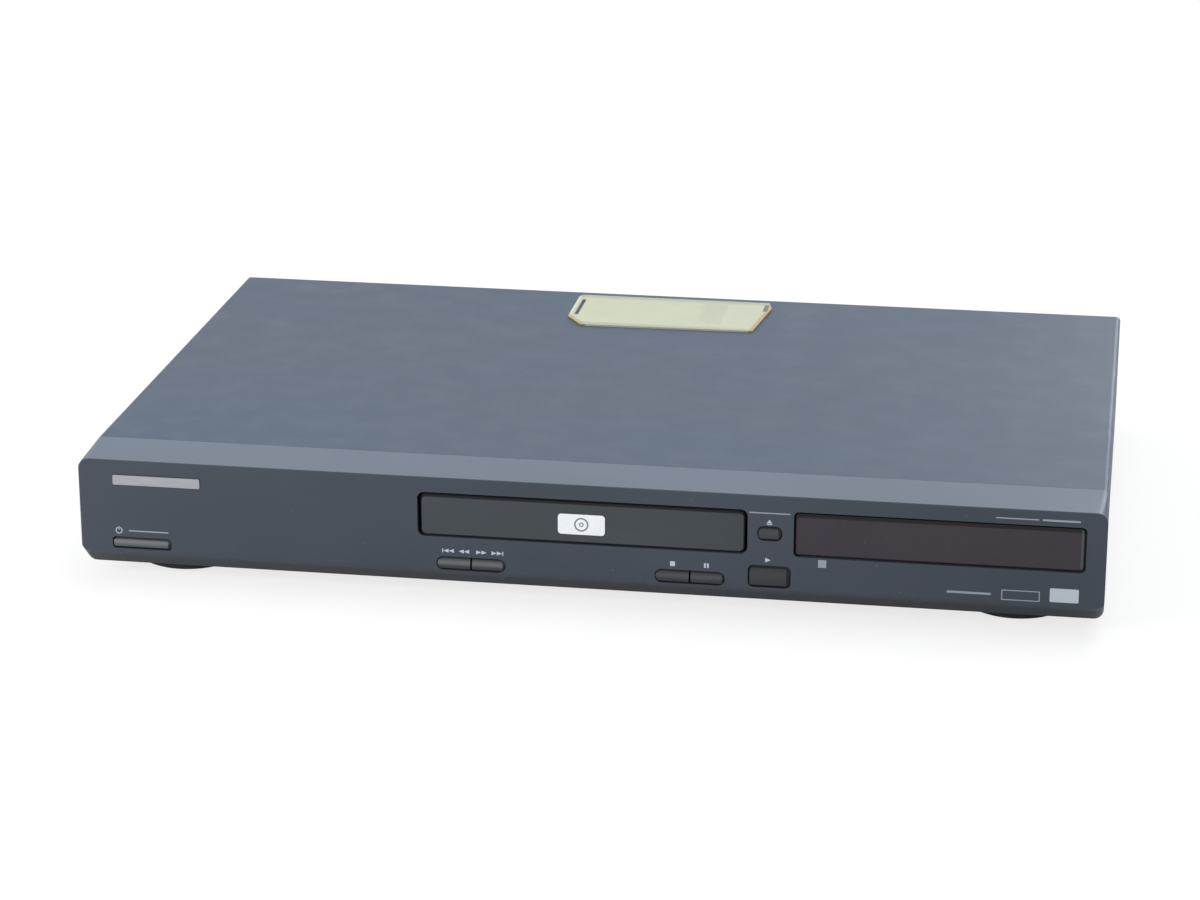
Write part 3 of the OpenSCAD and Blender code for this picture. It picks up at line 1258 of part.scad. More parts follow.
// The pickup's carriage: two bearings, a housing with the lens well and a rack at its side
module pickup() color([0.55, 0.56, 0.58]) {
    rear = pickup_y0 + pickup_d;
    rack_line = feed_x - rack_m * feed_pinion_z / 2;
    difference() {
        union() {
            along_z(z_rod - 1.9, z_rod + 2.6) polygon([[-rod_x, pickup_y0 + 6], [-18, pickup_y0],
                [18, pickup_y0], [rod_x, pickup_y0 + 6], [rod_x, rear - 5], [16, rear], [-16, rear],
                [-rod_x, rear - 5]]);
            along_z(z_rod + 2.5, z_tray + 2.5) translate([0, lens_y + 4]) rounded(26, 22, 2);
            for (s = [-1, 1]) bar_y(s * rod_x, pickup_y0 + 4, rear - 3, z_rod, rod_r + 1.4);
            translate([rack_line, feed_y, z_feed_pinion + 0.1]) linear_extrude(1.7)
                rack(rack_m, -pickup_travel - 3, 3, 3);
            block([rack_line - 3, pickup_y0 + 1, z_feed_pinion + 0.1],
                [rack_line - 1, pickup_y0 + 14, z_rod - 1]);
        }
        for (s = [-1, 1])
            bar_y(s * rod_x, pickup_y0 - cut, rear + cut, z_rod, rod_r + shaft_gap);
        block([-8, lens_y - 5, z_rod + 3.4], [8, lens_y + 11, z_tray + 3]);
    }
}

module objective_lens() color([0.3, 0.35, 0.5]) translate([0, lens_y, 0]) {
    along_z(z_rod + 3.8, z_tray + 2.2) translate([0, 2.5]) rounded(12, 12, 1.5);
    bar_z(0, 0, z_tray + 2.1, z_tray + 3.2, 3);
}

module feed_gear() color(white_c) translate([feed_x, feed_y, 0]) difference() {
    z_hub = z_feed_wheel + feed_t;
    union() {
        along_z(z_feed_wheel, z_hub) gear(feed_m, feed_wheel_z, feed_angle);
        along_z(z_hub - 0.1, z_feed_pinion + 1.9)
            gear(rack_m, feed_pinion_z, 180 + 180 / feed_pinion_z);
    }
    bar_z(0, 0, z_feed_wheel - cut, z_feed_pinion + 1.9 + cut, feed_pin_r + shaft_gap);
}

module feed_motor() color(steel_c) {
    bar_z(feed_motor_x, feed_motor_y, z_feed_arm - 7, z_feed_arm, feed_motor_r);
    bar_z(feed_motor_x, feed_motor_y, z_feed_arm - 0.1, z_feed_wheel + feed_t, feed_shaft_r);
}

module feed_pinion() color([0.8, 0.7, 0.4]) translate([feed_motor_x, feed_motor_y, 0]) difference() {
    along_z(z_feed_wheel, z_feed_wheel + feed_t)
        gear(feed_m, feed_motor_z, 180 + feed_angle + 180 / feed_motor_z);
    bar_z(0, 0, z_feed_wheel - cut, z_feed_wheel + feed_t + cut, feed_shaft_r + shaft_gap);
}

top_cover();
chassis_pan();
rear_panel();
front_fascia();
display_window();
nameplate();
top_label();
front_feet();
rear_feet();
foot_screws();
cover_screws();
rear_screws();
loader_screws();
board_screws();
front_board();
standby_board();
tact_switches();
display_tube();
main_board();
main_chips();
power_board();
transformer();
capacitors();
heat_sinks();
mains_inlet();
phono_barrels();
phono_housings();
s_video_socket();
optical_socket();
flat_cables();
loader_frame();
clamp_bridge();
loading_motor();
drive_belt();
disc_tray();
tray_door();
door_badge();
motor_pulley();
pulley_gear();
drive_gear();
cam_slide();
traverse_frame();
spindle_motor();
guide_rods();
feed_motor();
feed_pinion();
feed_gear();
turntable();
pickup();
objective_lens();
clamper();
standby_button();
previous_button();
next_button();
stop_button();
pause_button();
open_button();
play_button();
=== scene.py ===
import math

import bmesh
import bpy
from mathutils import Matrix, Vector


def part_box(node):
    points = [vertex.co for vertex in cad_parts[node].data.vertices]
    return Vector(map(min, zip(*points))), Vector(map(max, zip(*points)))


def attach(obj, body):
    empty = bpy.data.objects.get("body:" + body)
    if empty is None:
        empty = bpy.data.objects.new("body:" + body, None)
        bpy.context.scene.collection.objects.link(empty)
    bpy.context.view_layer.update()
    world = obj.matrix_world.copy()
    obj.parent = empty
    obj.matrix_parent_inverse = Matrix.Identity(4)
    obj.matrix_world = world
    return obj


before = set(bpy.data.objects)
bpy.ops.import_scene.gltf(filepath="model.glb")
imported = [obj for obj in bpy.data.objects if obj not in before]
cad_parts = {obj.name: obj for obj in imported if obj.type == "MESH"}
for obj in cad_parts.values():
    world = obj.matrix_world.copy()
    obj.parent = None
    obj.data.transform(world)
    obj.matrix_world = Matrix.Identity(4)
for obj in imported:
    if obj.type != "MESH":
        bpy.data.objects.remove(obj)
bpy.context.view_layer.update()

# The view ---------------------------------------------------------------------------
# A long lens on a stand in front of the player's right half, a little above it
# and turned to the left.
camera = bpy.data.objects.new("camera", bpy.data.cameras.new("camera"))
bpy.context.scene.collection.objects.link(camera)
camera.data.sensor_width = 36
camera.data.lens = 102.47
camera.data.clip_start = 0.05
camera.data.clip_end = 60
camera.location = (0.21546, -1.41332, 0.5128)
camera.rotation_euler = (math.radians(71.036), 0, math.radians(9.258))
bpy.context.scene.camera = camera
bpy.context.scene.view_settings.view_transform = "Standard"

# The table and the room -------------------------------------------------------------
# A plain white table top in a white room with even light: a large soft box at
# the front left, another high up and a dim one at the rear.


class Wire:
    """An output of one of a finish's nodes. Sums of wires become Math nodes."""

    def __init__(self, finish, socket):
        self.finish = finish
        self.socket = socket

    def maths(self, operation, *terms):
        return self.finish.node("ShaderNodeMath", {"operation": operation}, dict(enumerate(terms)))

    def __add__(self, other):
        return self.maths("ADD", self, other)

    __radd__ = __add__

    def __sub__(self, other):
        return self.maths("SUBTRACT", self, other)

    def __rsub__(self, other):
        return self.maths("SUBTRACT", other, self)

    def __mul__(self, other):
        return self.maths("MULTIPLY", self, other)

    __rmul__ = __mul__

    def __truediv__(self, other):
        return self.maths("DIVIDE", self, other)

    def __rtruediv__(self, other):
        return self.maths("DIVIDE", other, self)

    def __pow__(self, other):
        return self.maths("POWER", self, other)

    def __rpow__(self, other):
        return self.maths("POWER", other, self)

    def __gt__(self, other):
        return self.maths("GREATER_THAN", self, other)

    def __lt__(self, other):
        return self.maths("LESS_THAN", self, other)

    def __abs__(self):
        return self.maths("ABSOLUTE", self)

    def least(self, other):
        return self.maths("MINIMUM", self, other)

    def most(self, other):
        return self.maths("MAXIMUM", self, other)

    def fold(self):
        """Rises from 0 to 1/2 and falls again between each whole number and the next."""
        return self.maths("PINGPONG", self, 0.5)

    def step(self, low, high):
        """0 below low, 1 above high and smooth between them; low may be the larger."""
        return self.finish.node(
            "ShaderNodeMapRange",
            {"interpolation_type": "SMOOTHSTEP"},
            {"Value": self, "From Min": low, "From Max": high},
        )

    def blend(self, first, second):
        """The first colour where this wire is 0 and the second where it is 1."""
        return self.finish.node(
            "ShaderNodeMix", {"data_type": "RGBA"}, {0: self, 6: first, 7: second}, 2
        )


class Finish:
    """The nodes of one material, with the places on the piece in metres."""

    def __init__(self, owner):
        owner.use_nodes = True
        self.owner = owner
        self.tree = owner.node_tree
        self.tree.nodes.clear()

    def node(self, kind, settings, sockets, output=0):
        """Adds a node of a kind: its settings first, then the values or links of its sockets."""
        made = self.tree.nodes.new(kind)
        for name, value in settings.items():
            setattr(made, name, value)
        for name, value in sockets.items():
            if isinstance(value, Wire):
                self.tree.links.new(value.socket, made.inputs[name])
            else:
                made.inputs[name].default_value = value
        return Wire(self, made.outputs[output]) if made.outputs else None


room = Finish(bpy.data.worlds.new("room"))
bpy.context.scene.world = room.owner
ray = room.node("ShaderNodeLightPath", {}, {})
sees_white = ray
for kind in ("Is Glossy Ray", "Is Transmission Ray"):
    sees_white = sees_white.most(Wire(room, ray.socket.node.outputs[kind]))
even_light = room.node("ShaderNodeBackground", {}, {"Color": (0.97, 0.985, 1, 1), "Strength": 0.62})
white_room = room.node("ShaderNodeBackground", {}, {"Color": (1, 1, 1, 1), "Strength": 1})
both = room.node("ShaderNodeMixShader", {}, {0: sees_white, 1: even_light, 2: white_room})
room.node("ShaderNodeOutputWorld", {}, {"Surface": both})

for name, place, aim, width, power, tint in (
    ("front_left", (-0.7, -0.8, 0.42), (-0.1, -0.1, 0), 0.5, 6, (1, 0.99, 0.97)),
    ("overhead", (0.4, 0.5, 2.0), (0, 0, 0), 1.6, 17, (0.97, 0.99, 1)),
    ("rear_right", (0.8, 2.2, 0.9), (0.1, 0, 0), 1.0, 12, (0.9, 0.95, 1)),
):
    lamp = bpy.data.lights.new(name, "AREA")
    lamp.shape = "DISK"
    lamp.size = width
    lamp.energy = power
    lamp.color = tint
    holder = bpy.data.objects.new(name, lamp)
    bpy.context.scene.collection.objects.link(holder)
    holder.location = place
    from_aim = holder.location - Vector(aim)
    holder.rotation_euler = from_aim.to_track_quat("Z", "Y").to_euler()

table_reach = 12
table_z = -0.0001
sheet = bmesh.new()
turns = ((-1, -1), (1, -1), (1, 1), (-1, 1))
sheet.faces.new([sheet.verts.new((x * table_reach, y * table_reach, table_z)) for x, y in turns])
table_top = bpy.data.objects.new("table_top", bpy.data.meshes.new("table_top"))
sheet.to_mesh(table_top.data)
sheet.free()
bpy.context.scene.collection.objects.link(table_top)

pure_white_share = 0.72
white_board = Finish(bpy.data.materials.new("white_board"))
ray = white_board.node("ShaderNodeLightPath", {}, {})
lit = white_board.node("ShaderNodeBsdfDiffuse", {}, {"Color": (0.93, 0.93, 0.93, 1)})
glow = white_board.node("ShaderNodeEmission", {}, {"Color": (1, 1, 1, 1), "Strength": 1.05})
both = white_board.node("ShaderNodeMixShader", {}, {0: ray * pure_white_share, 1: lit, 2: glow})
white_board.node("ShaderNodeOutputMaterial", {}, {"Surface": both})
table_top.data.materials.append(white_board.owner)

# The pan ----------------------------------------------------------------------------
# The floor of the casing is pressed from zinc-plated steel sheet: a grey skin with
# fine rolling lines, faint cloudy crystals and a dull bloom from handling.


def shade(red, green, blue):
    """A linear colour from the 0 to 255 of a paint chart."""
    linear = []
    for level in (red, green, blue):
        part = level / 255
        linear.append(part / 12.92 if part < 0.04045 else ((part + 0.055) / 1.055) ** 2.4)
    return (*linear, 1)


def start(name):
    """A new finish, with the place on the piece in metres as its first wire."""
    finish = Finish(bpy.data.materials.new(name))
    return finish, finish.node("ShaderNodeTexCoord", {}, {}, "Object")


def along(finish, place, axis):
    """How far the place lies along X, Y or Z."""
    return finish.node("ShaderNodeSeparateXYZ", {}, {0: place}, axis)


def cloud(finish, place, grain, octaves=3, stretch=(1, 1, 1)):
    """Noise with lumps of the given size in metres, longer where the stretch is above 1."""
    scale = tuple(1 / grain / part for part in stretch)
    spot = finish.node("ShaderNodeVectorMath", {"operation": "MULTIPLY"}, {0: place, 1: scale})
    return finish.node(
        "ShaderNodeTexNoise", {}, {"Vector": spot, "Scale": 1.0, "Detail": octaves, "Roughness": 0.55}
    )


def cells(finish, place, grain, output="Distance", randomness=1.0):
    """Cell pattern with cells of the given size in metres."""
    sockets = {"Vector": place, "Scale": 1 / grain, "Randomness": randomness}
    return finish.node("ShaderNodeTexVoronoi", {"feature": "F1"}, sockets, output)


def seal(finish, colour, roughness, height, relief, **more):
    """Closes a finish: its shader, its output, and its height as a relief in metres."""
    sockets = {"Base Color": colour, "Roughness": roughness}
    for name, value in more.items():
        sockets[name.replace("_", " ")] = value
    sockets["Normal"] = finish.node(
        "ShaderNodeBump", {}, {"Strength": 1.0, "Distance": relief, "Height": height}
    )
    skin = finish.node("ShaderNodeBsdfPrincipled", {}, sockets)
    finish.node("ShaderNodeOutputMaterial", {}, {"Surface": skin})
    return finish.owner


def dress(material, *nodes):
    """Gives CAD pieces one material."""
    for node in nodes:
        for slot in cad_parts[node].material_slots:
            slot.material = material


def plated(name, light, dark, roughness, line_length, crystal):
    """Zinc-plated sheet: the rolling lines run along Y, and a crystal has a size in metres."""
    finish, place = start(name)
    rolled = cloud(finish, place, grain=0.0006, octaves=2, stretch=(1, line_length, 1))
    bloom = cloud(finish, place, grain=0.02, octaves=4)
    flower = cells(finish, place, crystal, output="Color")
    tone = bloom.step(0.35, 0.7) * 0.5 + along(finish, flower, 0) * 0.3 + rolled * 0.25
    colour = tone.blend(dark, light)
    return seal(
        finish, colour, roughness + 0.16 * bloom + 0.1 * rolled, rolled, relief=0.00002, Metallic=1.0
    )


pan_zinc = plated(
    "pan_zinc", shade(196, 198, 199), shade(140, 143, 147), 0.24, line_length=30, crystal=0.009
)
dress(pan_zinc, "chassis_pan")

# The feet ---------------------------------------------------------------------------
# Four hollow moulded feet of dull black rubber-like plastic, each held by one
# screw. Their rims are rubbed greyer where they slide on a shelf.
rubbed_up_to = 0.0016
rubbed_bare_to = 0.0002
finish, place = start("foot_rubber")
grit = cloud(finish, place, grain=0.0004)
uneven = cloud(finish, place, grain=0.004, octaves=4).step(0.35, 0.75)
wear = along(finish, place, 2).step(rubbed_up_to, rubbed_bare_to) * uneven
dust = cloud(finish, place, grain=0.012, octaves=4).step(0.55, 0.9) * 0.35
colour = (wear * 0.6 + dust).least(1).blend(shade(38, 38, 41), shade(86, 86, 88))
foot_rubber = seal(finish, colour, 0.62 + 0.2 * grit, grit, relief=0.00006)
dress(foot_rubber, "front_feet", "rear_feet")

# The screws -------------------------------------------------------------------------
# Small pan-head screws with cross slots: the casing's are blackened steel, the
# ones inside are bright zinc. The plating is mottled and a little worn.


def grained(
    name, dark, pale, roughness, rougher, grain, relief,
    octaves=3, stretch=(1, 1, 1), mottle=None, **more
):
    """One fine grain sets the colour, roughness and relief; mottle parts its two colours."""
    finish, place = start(name)
    speckle = cloud(finish, place, grain, octaves, stretch)
    tone = speckle.step(*mottle) if mottle else speckle
    colour = tone.blend(dark, pale)
    return seal(finish, colour, roughness + rougher * speckle, speckle, relief, **more)


black_steel = grained(
    "blackened_screw", shade(52, 54, 58), shade(92, 94, 98), roughness=0.3, rougher=0.2,
    grain=0.0008, relief=0.00003, mottle=(0.4, 0.7), Metallic=0.85,
)
dress(black_steel, "foot_screws", "cover_screws", "rear_screws")
bright_zinc = grained(
    "bright_screw", shade(150, 148, 138), shade(214, 212, 204), roughness=0.22, rougher=0.2,
    grain=0.0007, relief=0.00003, mottle=(0.3, 0.75), Metallic=1.0,
)
dress(bright_zinc, "loader_screws", "board_screws")

# The circuit boards -----------------------------------------------------------------
# The main board is green glass-fibre with fine tracks, vias and tinned pads. The
# power and front boards are tan paper laminate with wide tracks showing through.


def board(name, mask, track, pad, pitch, width, pad_size):
    """Lacquered board: tracks on a square grid that turn at random, and round pads."""
    finish, place = start(name)
    weave = cloud(finish, place, grain=0.0005, octaves=2)
    cell = cells(finish, place, pitch * 2, output="Color", randomness=0.0)
    pick = along(finish, cell, 0)
    lines = []
    for axis in (0, 1):
        fold = (along(finish, place, axis) / pitch).fold()
        lines.append((fold * 2).step(1 - width, 1 - width * 0.8))
    runs_across = pick > 0.5
    has_track = pick.step(0.1094, 0.1368)
    etched = (runs_across * lines[0] + (1 - runs_across) * lines[1]) * has_track
    spots = cells(finish, place, pitch * 2, randomness=0.5)
    land = spots.step(pad_size, pad_size * 0.8)
    colour = land.blend((etched * 0.8 + weave * 0.12).blend(mask, track), pad)
    copper = etched * 0.6 + land * 0.8
    dull = 0.34 - 0.12 * land + 0.12 * weave
    return seal(finish, colour, dull, copper, relief=0.00004, Coat_Weight=0.3)


green_lacquer = board(
    "main_board_lacquer", shade(14, 74, 40), shade(44, 128, 74), shade(198, 196, 184),
    pitch=0.0024, width=0.42, pad_size=0.2,
)
dress(green_lacquer, "main_board")
tan_lacquer = board(
    "power_board_lacquer", shade(142, 108, 54), shade(96, 84, 44), shade(190, 186, 170),
    pitch=0.006, width=0.5, pad_size=0.13,
)
dress(tan_lacquer, "power_board", "front_board", "standby_board")

# The chips and switches -------------------------------------------------------------
# Black moulded packages with tinned legs, soldered to the boards. The tact switches
# behind the buttons are the same dull black with a steel skin.
leg_top = 0.0197
leg_edge = 0.00005
finish, place = start("chip_plastic")
grit = cloud(finish, place, grain=0.0003, octaves=2)
leg = along(finish, place, 2).step(leg_top + leg_edge, leg_top - leg_edge)
colour = leg.blend(grit.blend(shade(30, 30, 33), shade(52, 52, 56)), shade(190, 190, 186))
chip_plastic = seal(finish, colour, 0.55 - 0.2 * leg + 0.1 * grit, grit, relief=0.00003)
dress(chip_plastic, "main_chips")
switch_plastic = grained(
    "switch_plastic", shade(26, 26, 28), shade(60, 60, 62), roughness=0.45, rougher=0.2,
    grain=0.0004, relief=0.00003, octaves=2,
)
dress(switch_plastic, "tact_switches")

# The power parts --------------------------------------------------------------------
# Transformer with a taped yellow winding between ferrite legs, sleeved electrolytic
# cans with a pale stripe, and pressed aluminium fins.
yoke = 0.0045
half_leg = 0.0035
low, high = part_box("transformer")
middle = (low + high) / 2
finish, place = start("winding_tape")
layers = cloud(finish, place, grain=0.0015, stretch=(8, 8, 1))
from_middle = abs(along(finish, place, 0) - middle[0])
core = (along(finish, place, 2) > high[2] - yoke).most(from_middle < half_leg)
amber = layers.blend(shade(196, 150, 40), shade(226, 188, 84))
ferrite = layers.blend(shade(48, 46, 46), shade(74, 72, 72))
winding_tape = seal(finish, core.blend(amber, ferrite), 0.5 - 0.1 * layers, layers, relief=0.0001)
dress(winding_tape, "transformer")

can_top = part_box("capacitors")[1][2]
lid_depth = 0.0004
finish, place = start("can_sleeve")
wrap = cloud(finish, place, grain=0.003)
facing = finish.node("ShaderNodeTexCoord", {}, {}, "Normal")
stripe = (along(finish, facing, 0) * 0.6 - along(finish, facing, 1) * 0.8).step(0.86, 0.88)
lid = along(finish, place, 2).step(can_top - lid_depth, can_top - lid_depth / 2)
sleeve = stripe.blend(wrap.blend(shade(24, 32, 66), shade(38, 50, 92)), shade(190, 194, 200))
colour = lid.blend(sleeve, shade(176, 178, 180))
can_sleeve = seal(finish, colour, 0.3 + 0.12 * wrap, wrap, relief=0.00008, Coat_Weight=0.4)
dress(can_sleeve, "capacitors")

pressed_fins = grained(
    "pressed_fins", shade(150, 152, 155), shade(206, 208, 210), roughness=0.34, rougher=0.2,
    grain=0.0005, relief=0.00004, stretch=(1, 1, 30), Metallic=1.0,
)
dress(pressed_fins, "heat_sinks")

# The rear panel ---------------------------------------------------------------------
# Zinc-plated sheet like the pan, with finer crystals and short rolling marks. It is
# screwed on at the rear, and the sockets come through it.
rear_zinc = plated(
    "rear_zinc", shade(186, 188, 190), shade(160, 163, 167), 0.32, line_length=1.0, crystal=0.004
)
dress(rear_zinc, "rear_panel")

# The sockets ------------------------------------------------------------------------
# Nickel-plated phono barrels round coloured inserts: red for the right channel,
# white for the left, yellow, green and blue for the picture. The other sockets
# are black.
rings_per_metre = 9000
finish, place = start("nickel_barrels")
turned = cloud(finish, place, grain=0.0004, octaves=2)
rings = along(finish, place, 1) * rings_per_metre
groove = rings.maths("SINE", rings)
colour = turned.blend(shade(176, 172, 160), shade(222, 219, 208))
nickel = seal(finish, colour, 0.2 + 0.14 * turned, groove * 0.5 + turned, relief=0.00002, Metallic=1.0)
dress(nickel, "phono_barrels")

pitch = 0.014
low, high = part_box("phono_housings")
first_x = (low[0] + high[0] - 5 * pitch) / 2
between_rows = (low[2] + high[2]) / 2 + 0.0005
red, white, yellow = shade(176, 28, 26), shade(222, 222, 218), shade(206, 170, 30)
green, blue, black = shade(28, 120, 60), shade(24, 74, 160), shade(30, 30, 32)
finish, place = start("phono_inserts")
across = along(finish, place, 0)
upper = along(finish, place, 2) > between_rows
gloss = cloud(finish, place, grain=0.002, octaves=2)
colour = upper.blend(red, white)
for columns, lower_ring, upper_ring in (
    (0.5, red, white),
    (1.5, yellow, yellow),
    (3, blue, green),
    (4.5, black, red),
):
    further = across > first_x + columns * pitch
    colour = further.blend(colour, upper.blend(lower_ring, upper_ring))
phono_inserts = seal(finish, colour, 0.28 + 0.15 * gloss, gloss, relief=0.00004)
dress(phono_inserts, "phono_housings")

socket_black = grained(
    "socket_black", shade(24, 24, 26), shade(44, 44, 47), roughness=0.4, rougher=0.2,
    grain=0.0005, relief=0.00005,
)
dress(socket_black, "mains_inlet", "s_video_socket", "optical_socket")

# The flat cables --------------------------------------------------------------------
# White ribbons of tinned conductors between two films of polyester, pushed into the
# boards' sockets. The conductors show as fine grey lines along the ribbon.
conductor_pitch = 0.00125
finish, place = start("ribbon")
across = along(finish, place, 0)
front_cable = across > 0
over = front_cable * across + (1 - front_cable) * along(finish, place, 1)
line = ((over / conductor_pitch).fold() * 2).step(0.4, 0.6)
film = cloud(finish, place, grain=0.004)
colour = line.blend(film.blend(shade(214, 214, 208), shade(230, 230, 226)), shade(168, 170, 172))
ribbon = seal(finish, colour, 0.34 + 0.15 * film, line, relief=0.00008)
dress(ribbon, "flat_cables")

# The loader -------------------------------------------------------------------------
# The frame, the traverse, the turntable and the clamper are black glass-filled
# plastic with a fine sparked skin and pale flow marks near the gates. The bridge
# over the disc is zinc-plated sheet, screwed to the frame.


def moulded(name, dark, pale, roughness, grain, relief):
    """Moulded plastic: a sparked grain, a cloudy bloom and a few dust specks."""
    bloom = 0.35
    finish, place = start(name)
    spark = cloud(finish, place, grain)
    flow = cloud(finish, place, grain=0.03, octaves=4).step(0.35, 0.8)
    dusty = cloud(finish, place, grain=0.02, octaves=1) > 0.5
    speck = cells(finish, place, 0.007).step(0.055, 0.03) * dusty
    tone = (flow * bloom + spark * (1 - bloom)).least(1)
    colour = (speck * 0.35).blend(tone.blend(dark, pale), shade(170, 172, 176))
    return seal(finish, colour, roughness + 0.12 * spark + 0.08 * flow, spark, relief)


loader_plastic = moulded(
    "loader_plastic", shade(26, 26, 28), shade(44, 44, 47), 0.42, grain=0.0005, relief=0.00004
)
dress(loader_plastic, "loader_frame", "traverse_frame")
clamp_plastic = moulded(
    "clamp_plastic", shade(30, 30, 33), shade(50, 50, 54), 0.36, grain=0.0004, relief=0.00003
)
dress(clamp_plastic, "clamper", "turntable")
bridge_zinc = plated(
    "bridge_zinc", shade(204, 204, 202), shade(150, 151, 152), 0.22, line_length=12, crystal=0.011
)
dress(bridge_zinc, "clamp_bridge")

# The motors and rods ----------------------------------------------------------------
# Drawn steel cans with a dull nickel skin, and ground steel guide rods that are
# clipped into the traverse.
finish, place = start("motor_can")
drawn = cloud(finish, place, grain=0.0005, stretch=(1, 1, 14))
stain = cloud(finish, place, grain=0.006)
colour = (drawn * 0.5 + stain * 0.5).blend(shade(138, 138, 134), shade(206, 205, 200))
motor_can = seal(finish, colour, 0.25 + 0.2 * stain, drawn, relief=0.00003, Metallic=1.0)
dress(motor_can, "loading_motor", "spindle_motor", "feed_motor")
ground_rod = grained(
    "ground_rod", shade(186, 188, 190), shade(228, 230, 232), roughness=0.12, rougher=0.12,
    grain=0.0002, relief=0.00001, octaves=2, stretch=(1, 20, 1), Metallic=1.0,
)
dress(ground_rod, "guide_rods")

# The gears and the cam slide --------------------------------------------------------
# The gears and the cam slide are slippery white acetal, slightly see-through and
# yellowed, with grease in the teeth. The motors' pulley and pinion are turned brass,
# pressed on their shafts. The belt is black rubber.
finish, place = start("acetal")
haze = cloud(finish, place, grain=0.006)
grease = cloud(finish, place, grain=0.003).step(0.6, 0.8)
clean = haze.blend(shade(222, 220, 208), shade(236, 235, 228))
colour = (grease * 0.5).blend(clean, shade(206, 196, 160))
acetal = seal(finish, colour, 0.38 - 0.2 * grease, haze, relief=0.00005, Subsurface_Weight=0.1)
dress(acetal, "pulley_gear", "drive_gear", "cam_slide", "feed_gear")
turned_brass = grained(
    "turned_brass", shade(188, 150, 76), shade(222, 190, 116), roughness=0.2, rougher=0.2,
    grain=0.0003, relief=0.00002, octaves=2, Metallic=1.0,
)
dress(turned_brass, "motor_pulley", "feed_pinion")
belt_rubber = grained(
    "belt_rubber", shade(22, 22, 23), shade(48, 48, 50), roughness=0.6, rougher=0.2,
    grain=0.0005, relief=0.00004,
)
dress(belt_rubber, "drive_belt")

# The pickup -------------------------------------------------------------------------
# A die-cast zinc carriage with a sandy skin. The lens is a small coated glass dome
# in a black holder.
finish, place = start("die_cast")
sand = cloud(finish, place, grain=0.0004)
flow = cloud(finish, place, grain=0.008)
colour = (sand * 0.5 + flow * 0.5).blend(shade(120, 122, 125), shade(178, 180, 182))
die_cast = seal(finish, colour, 0.42 + 0.15 * sand, sand, relief=0.00005, Metallic=0.9)
dress(die_cast, "pickup")

dome_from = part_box("objective_lens")[1][2] - 0.0009
dome_edge = 0.0002
finish, place = start("coated_lens")
dome = along(finish, place, 2).step(dome_from, dome_from + dome_edge)
tint = cloud(finish, place, grain=0.004, octaves=1)
colour = dome.blend(shade(30, 30, 33), tint.blend(shade(40, 62, 140), shade(96, 60, 150)))
coated_lens = seal(finish, colour, 0.5 - 0.45 * dome, tint, relief=0.00001, Coat_Weight=dome)
dress(coated_lens, "objective_lens")

# The disc tray ----------------------------------------------------------------------
# Black plastic with a satin floor, moulded in one with its rack and rails. The discs
# have polished it along the steps of its well.
finish, place = start("tray_plastic")
spark = cloud(finish, place, grain=0.0004)
polish = cloud(finish, place, grain=0.02, octaves=4, stretch=(1, 4, 1)).step(0.45, 0.8)
scuff = cloud(finish, place, grain=0.0012, octaves=2, stretch=(1, 24, 1)).step(0.66, 0.8)
clean = spark.blend(shade(30, 31, 33), shade(46, 47, 50))
colour = (scuff * 0.3 + polish * 0.15).blend(clean, shade(92, 93, 96))
tray_plastic = seal(finish, colour, 0.4 + 0.15 * spark - 0.1 * polish, spark, relief=0.00003)
dress(tray_plastic, "disc_tray")

# The tray door ----------------------------------------------------------------------
# The door is clipped to the tray's front. It is moulded in a slightly warmer and
# duller grey than the front panel. Its rim is painted dark as shade from the gap round it,
# widest along the top, and a line just above its lower edge is a painted highlight.


def rim_mask(finish, place, low, high, corner, width, fade, shift_x, shift_z):
    """1 on the rim of a rounded upright plate; a shift widens the rim on that side."""
    squares = []
    for axis, shift in ((0, shift_x), (2, shift_z)):
        from_middle = along(finish, place, axis) + (shift - (low[axis] + high[axis]) / 2)
        out = (abs(from_middle) - ((high[axis] - low[axis]) / 2 - corner)).most(0)
        squares.append(out * out)
    radius = (squares[0] + squares[1]) ** 0.5
    return radius.step(corner - width, corner - width + fade)


highlight_from = 0.0002
highlight_to = 0.0011
low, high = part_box("tray_door")
finish, place = start("door_plastic")
spark = cloud(finish, place, grain=0.0005)
wipe = cloud(finish, place, grain=0.03, octaves=4, stretch=(3, 1, 1)).step(0.4, 0.8)
# The dark rim is painted shade from the gap round the door, widest along the top.
door_rim_shade = rim_mask(
    finish, place, low, high, corner=0.0024, width=0.00065, fade=0.0004, shift_x=-0.0001, shift_z=0.0012
)
# The pale line just above the lower edge is a painted highlight.
from_below = along(finish, place, 2) - low[2]
lower_highlight = from_below.step(highlight_to, highlight_to - 0.0003)
lower_highlight = lower_highlight * from_below.step(highlight_from, highlight_from + 0.0002)
tone = (spark * 0.4 + wipe * 0.4 + lower_highlight * 0.6).least(1)
colour = (door_rim_shade * 0.95).blend(tone.blend(shade(56, 61, 65), shade(69, 74, 78)), shade(14, 15, 16))
door_plastic = seal(
    finish, colour, 0.42 + 0.12 * spark - 0.06 * wipe, spark, relief=0.00003, Specular_IOR_Level=0.2
)
dress(door_plastic, "tray_door")

# The badge on the door --------------------------------------------------------------
# A white foil sticker with rounded corners. It carries a plain ring and a small one
# inside it, the common sign for a disc, printed in dark grey.


def between(distance, near, far, fade):
    """1 where a distance lies between a near and a far one."""
    return distance.step(far, far - fade) * distance.step(near, near + fade)


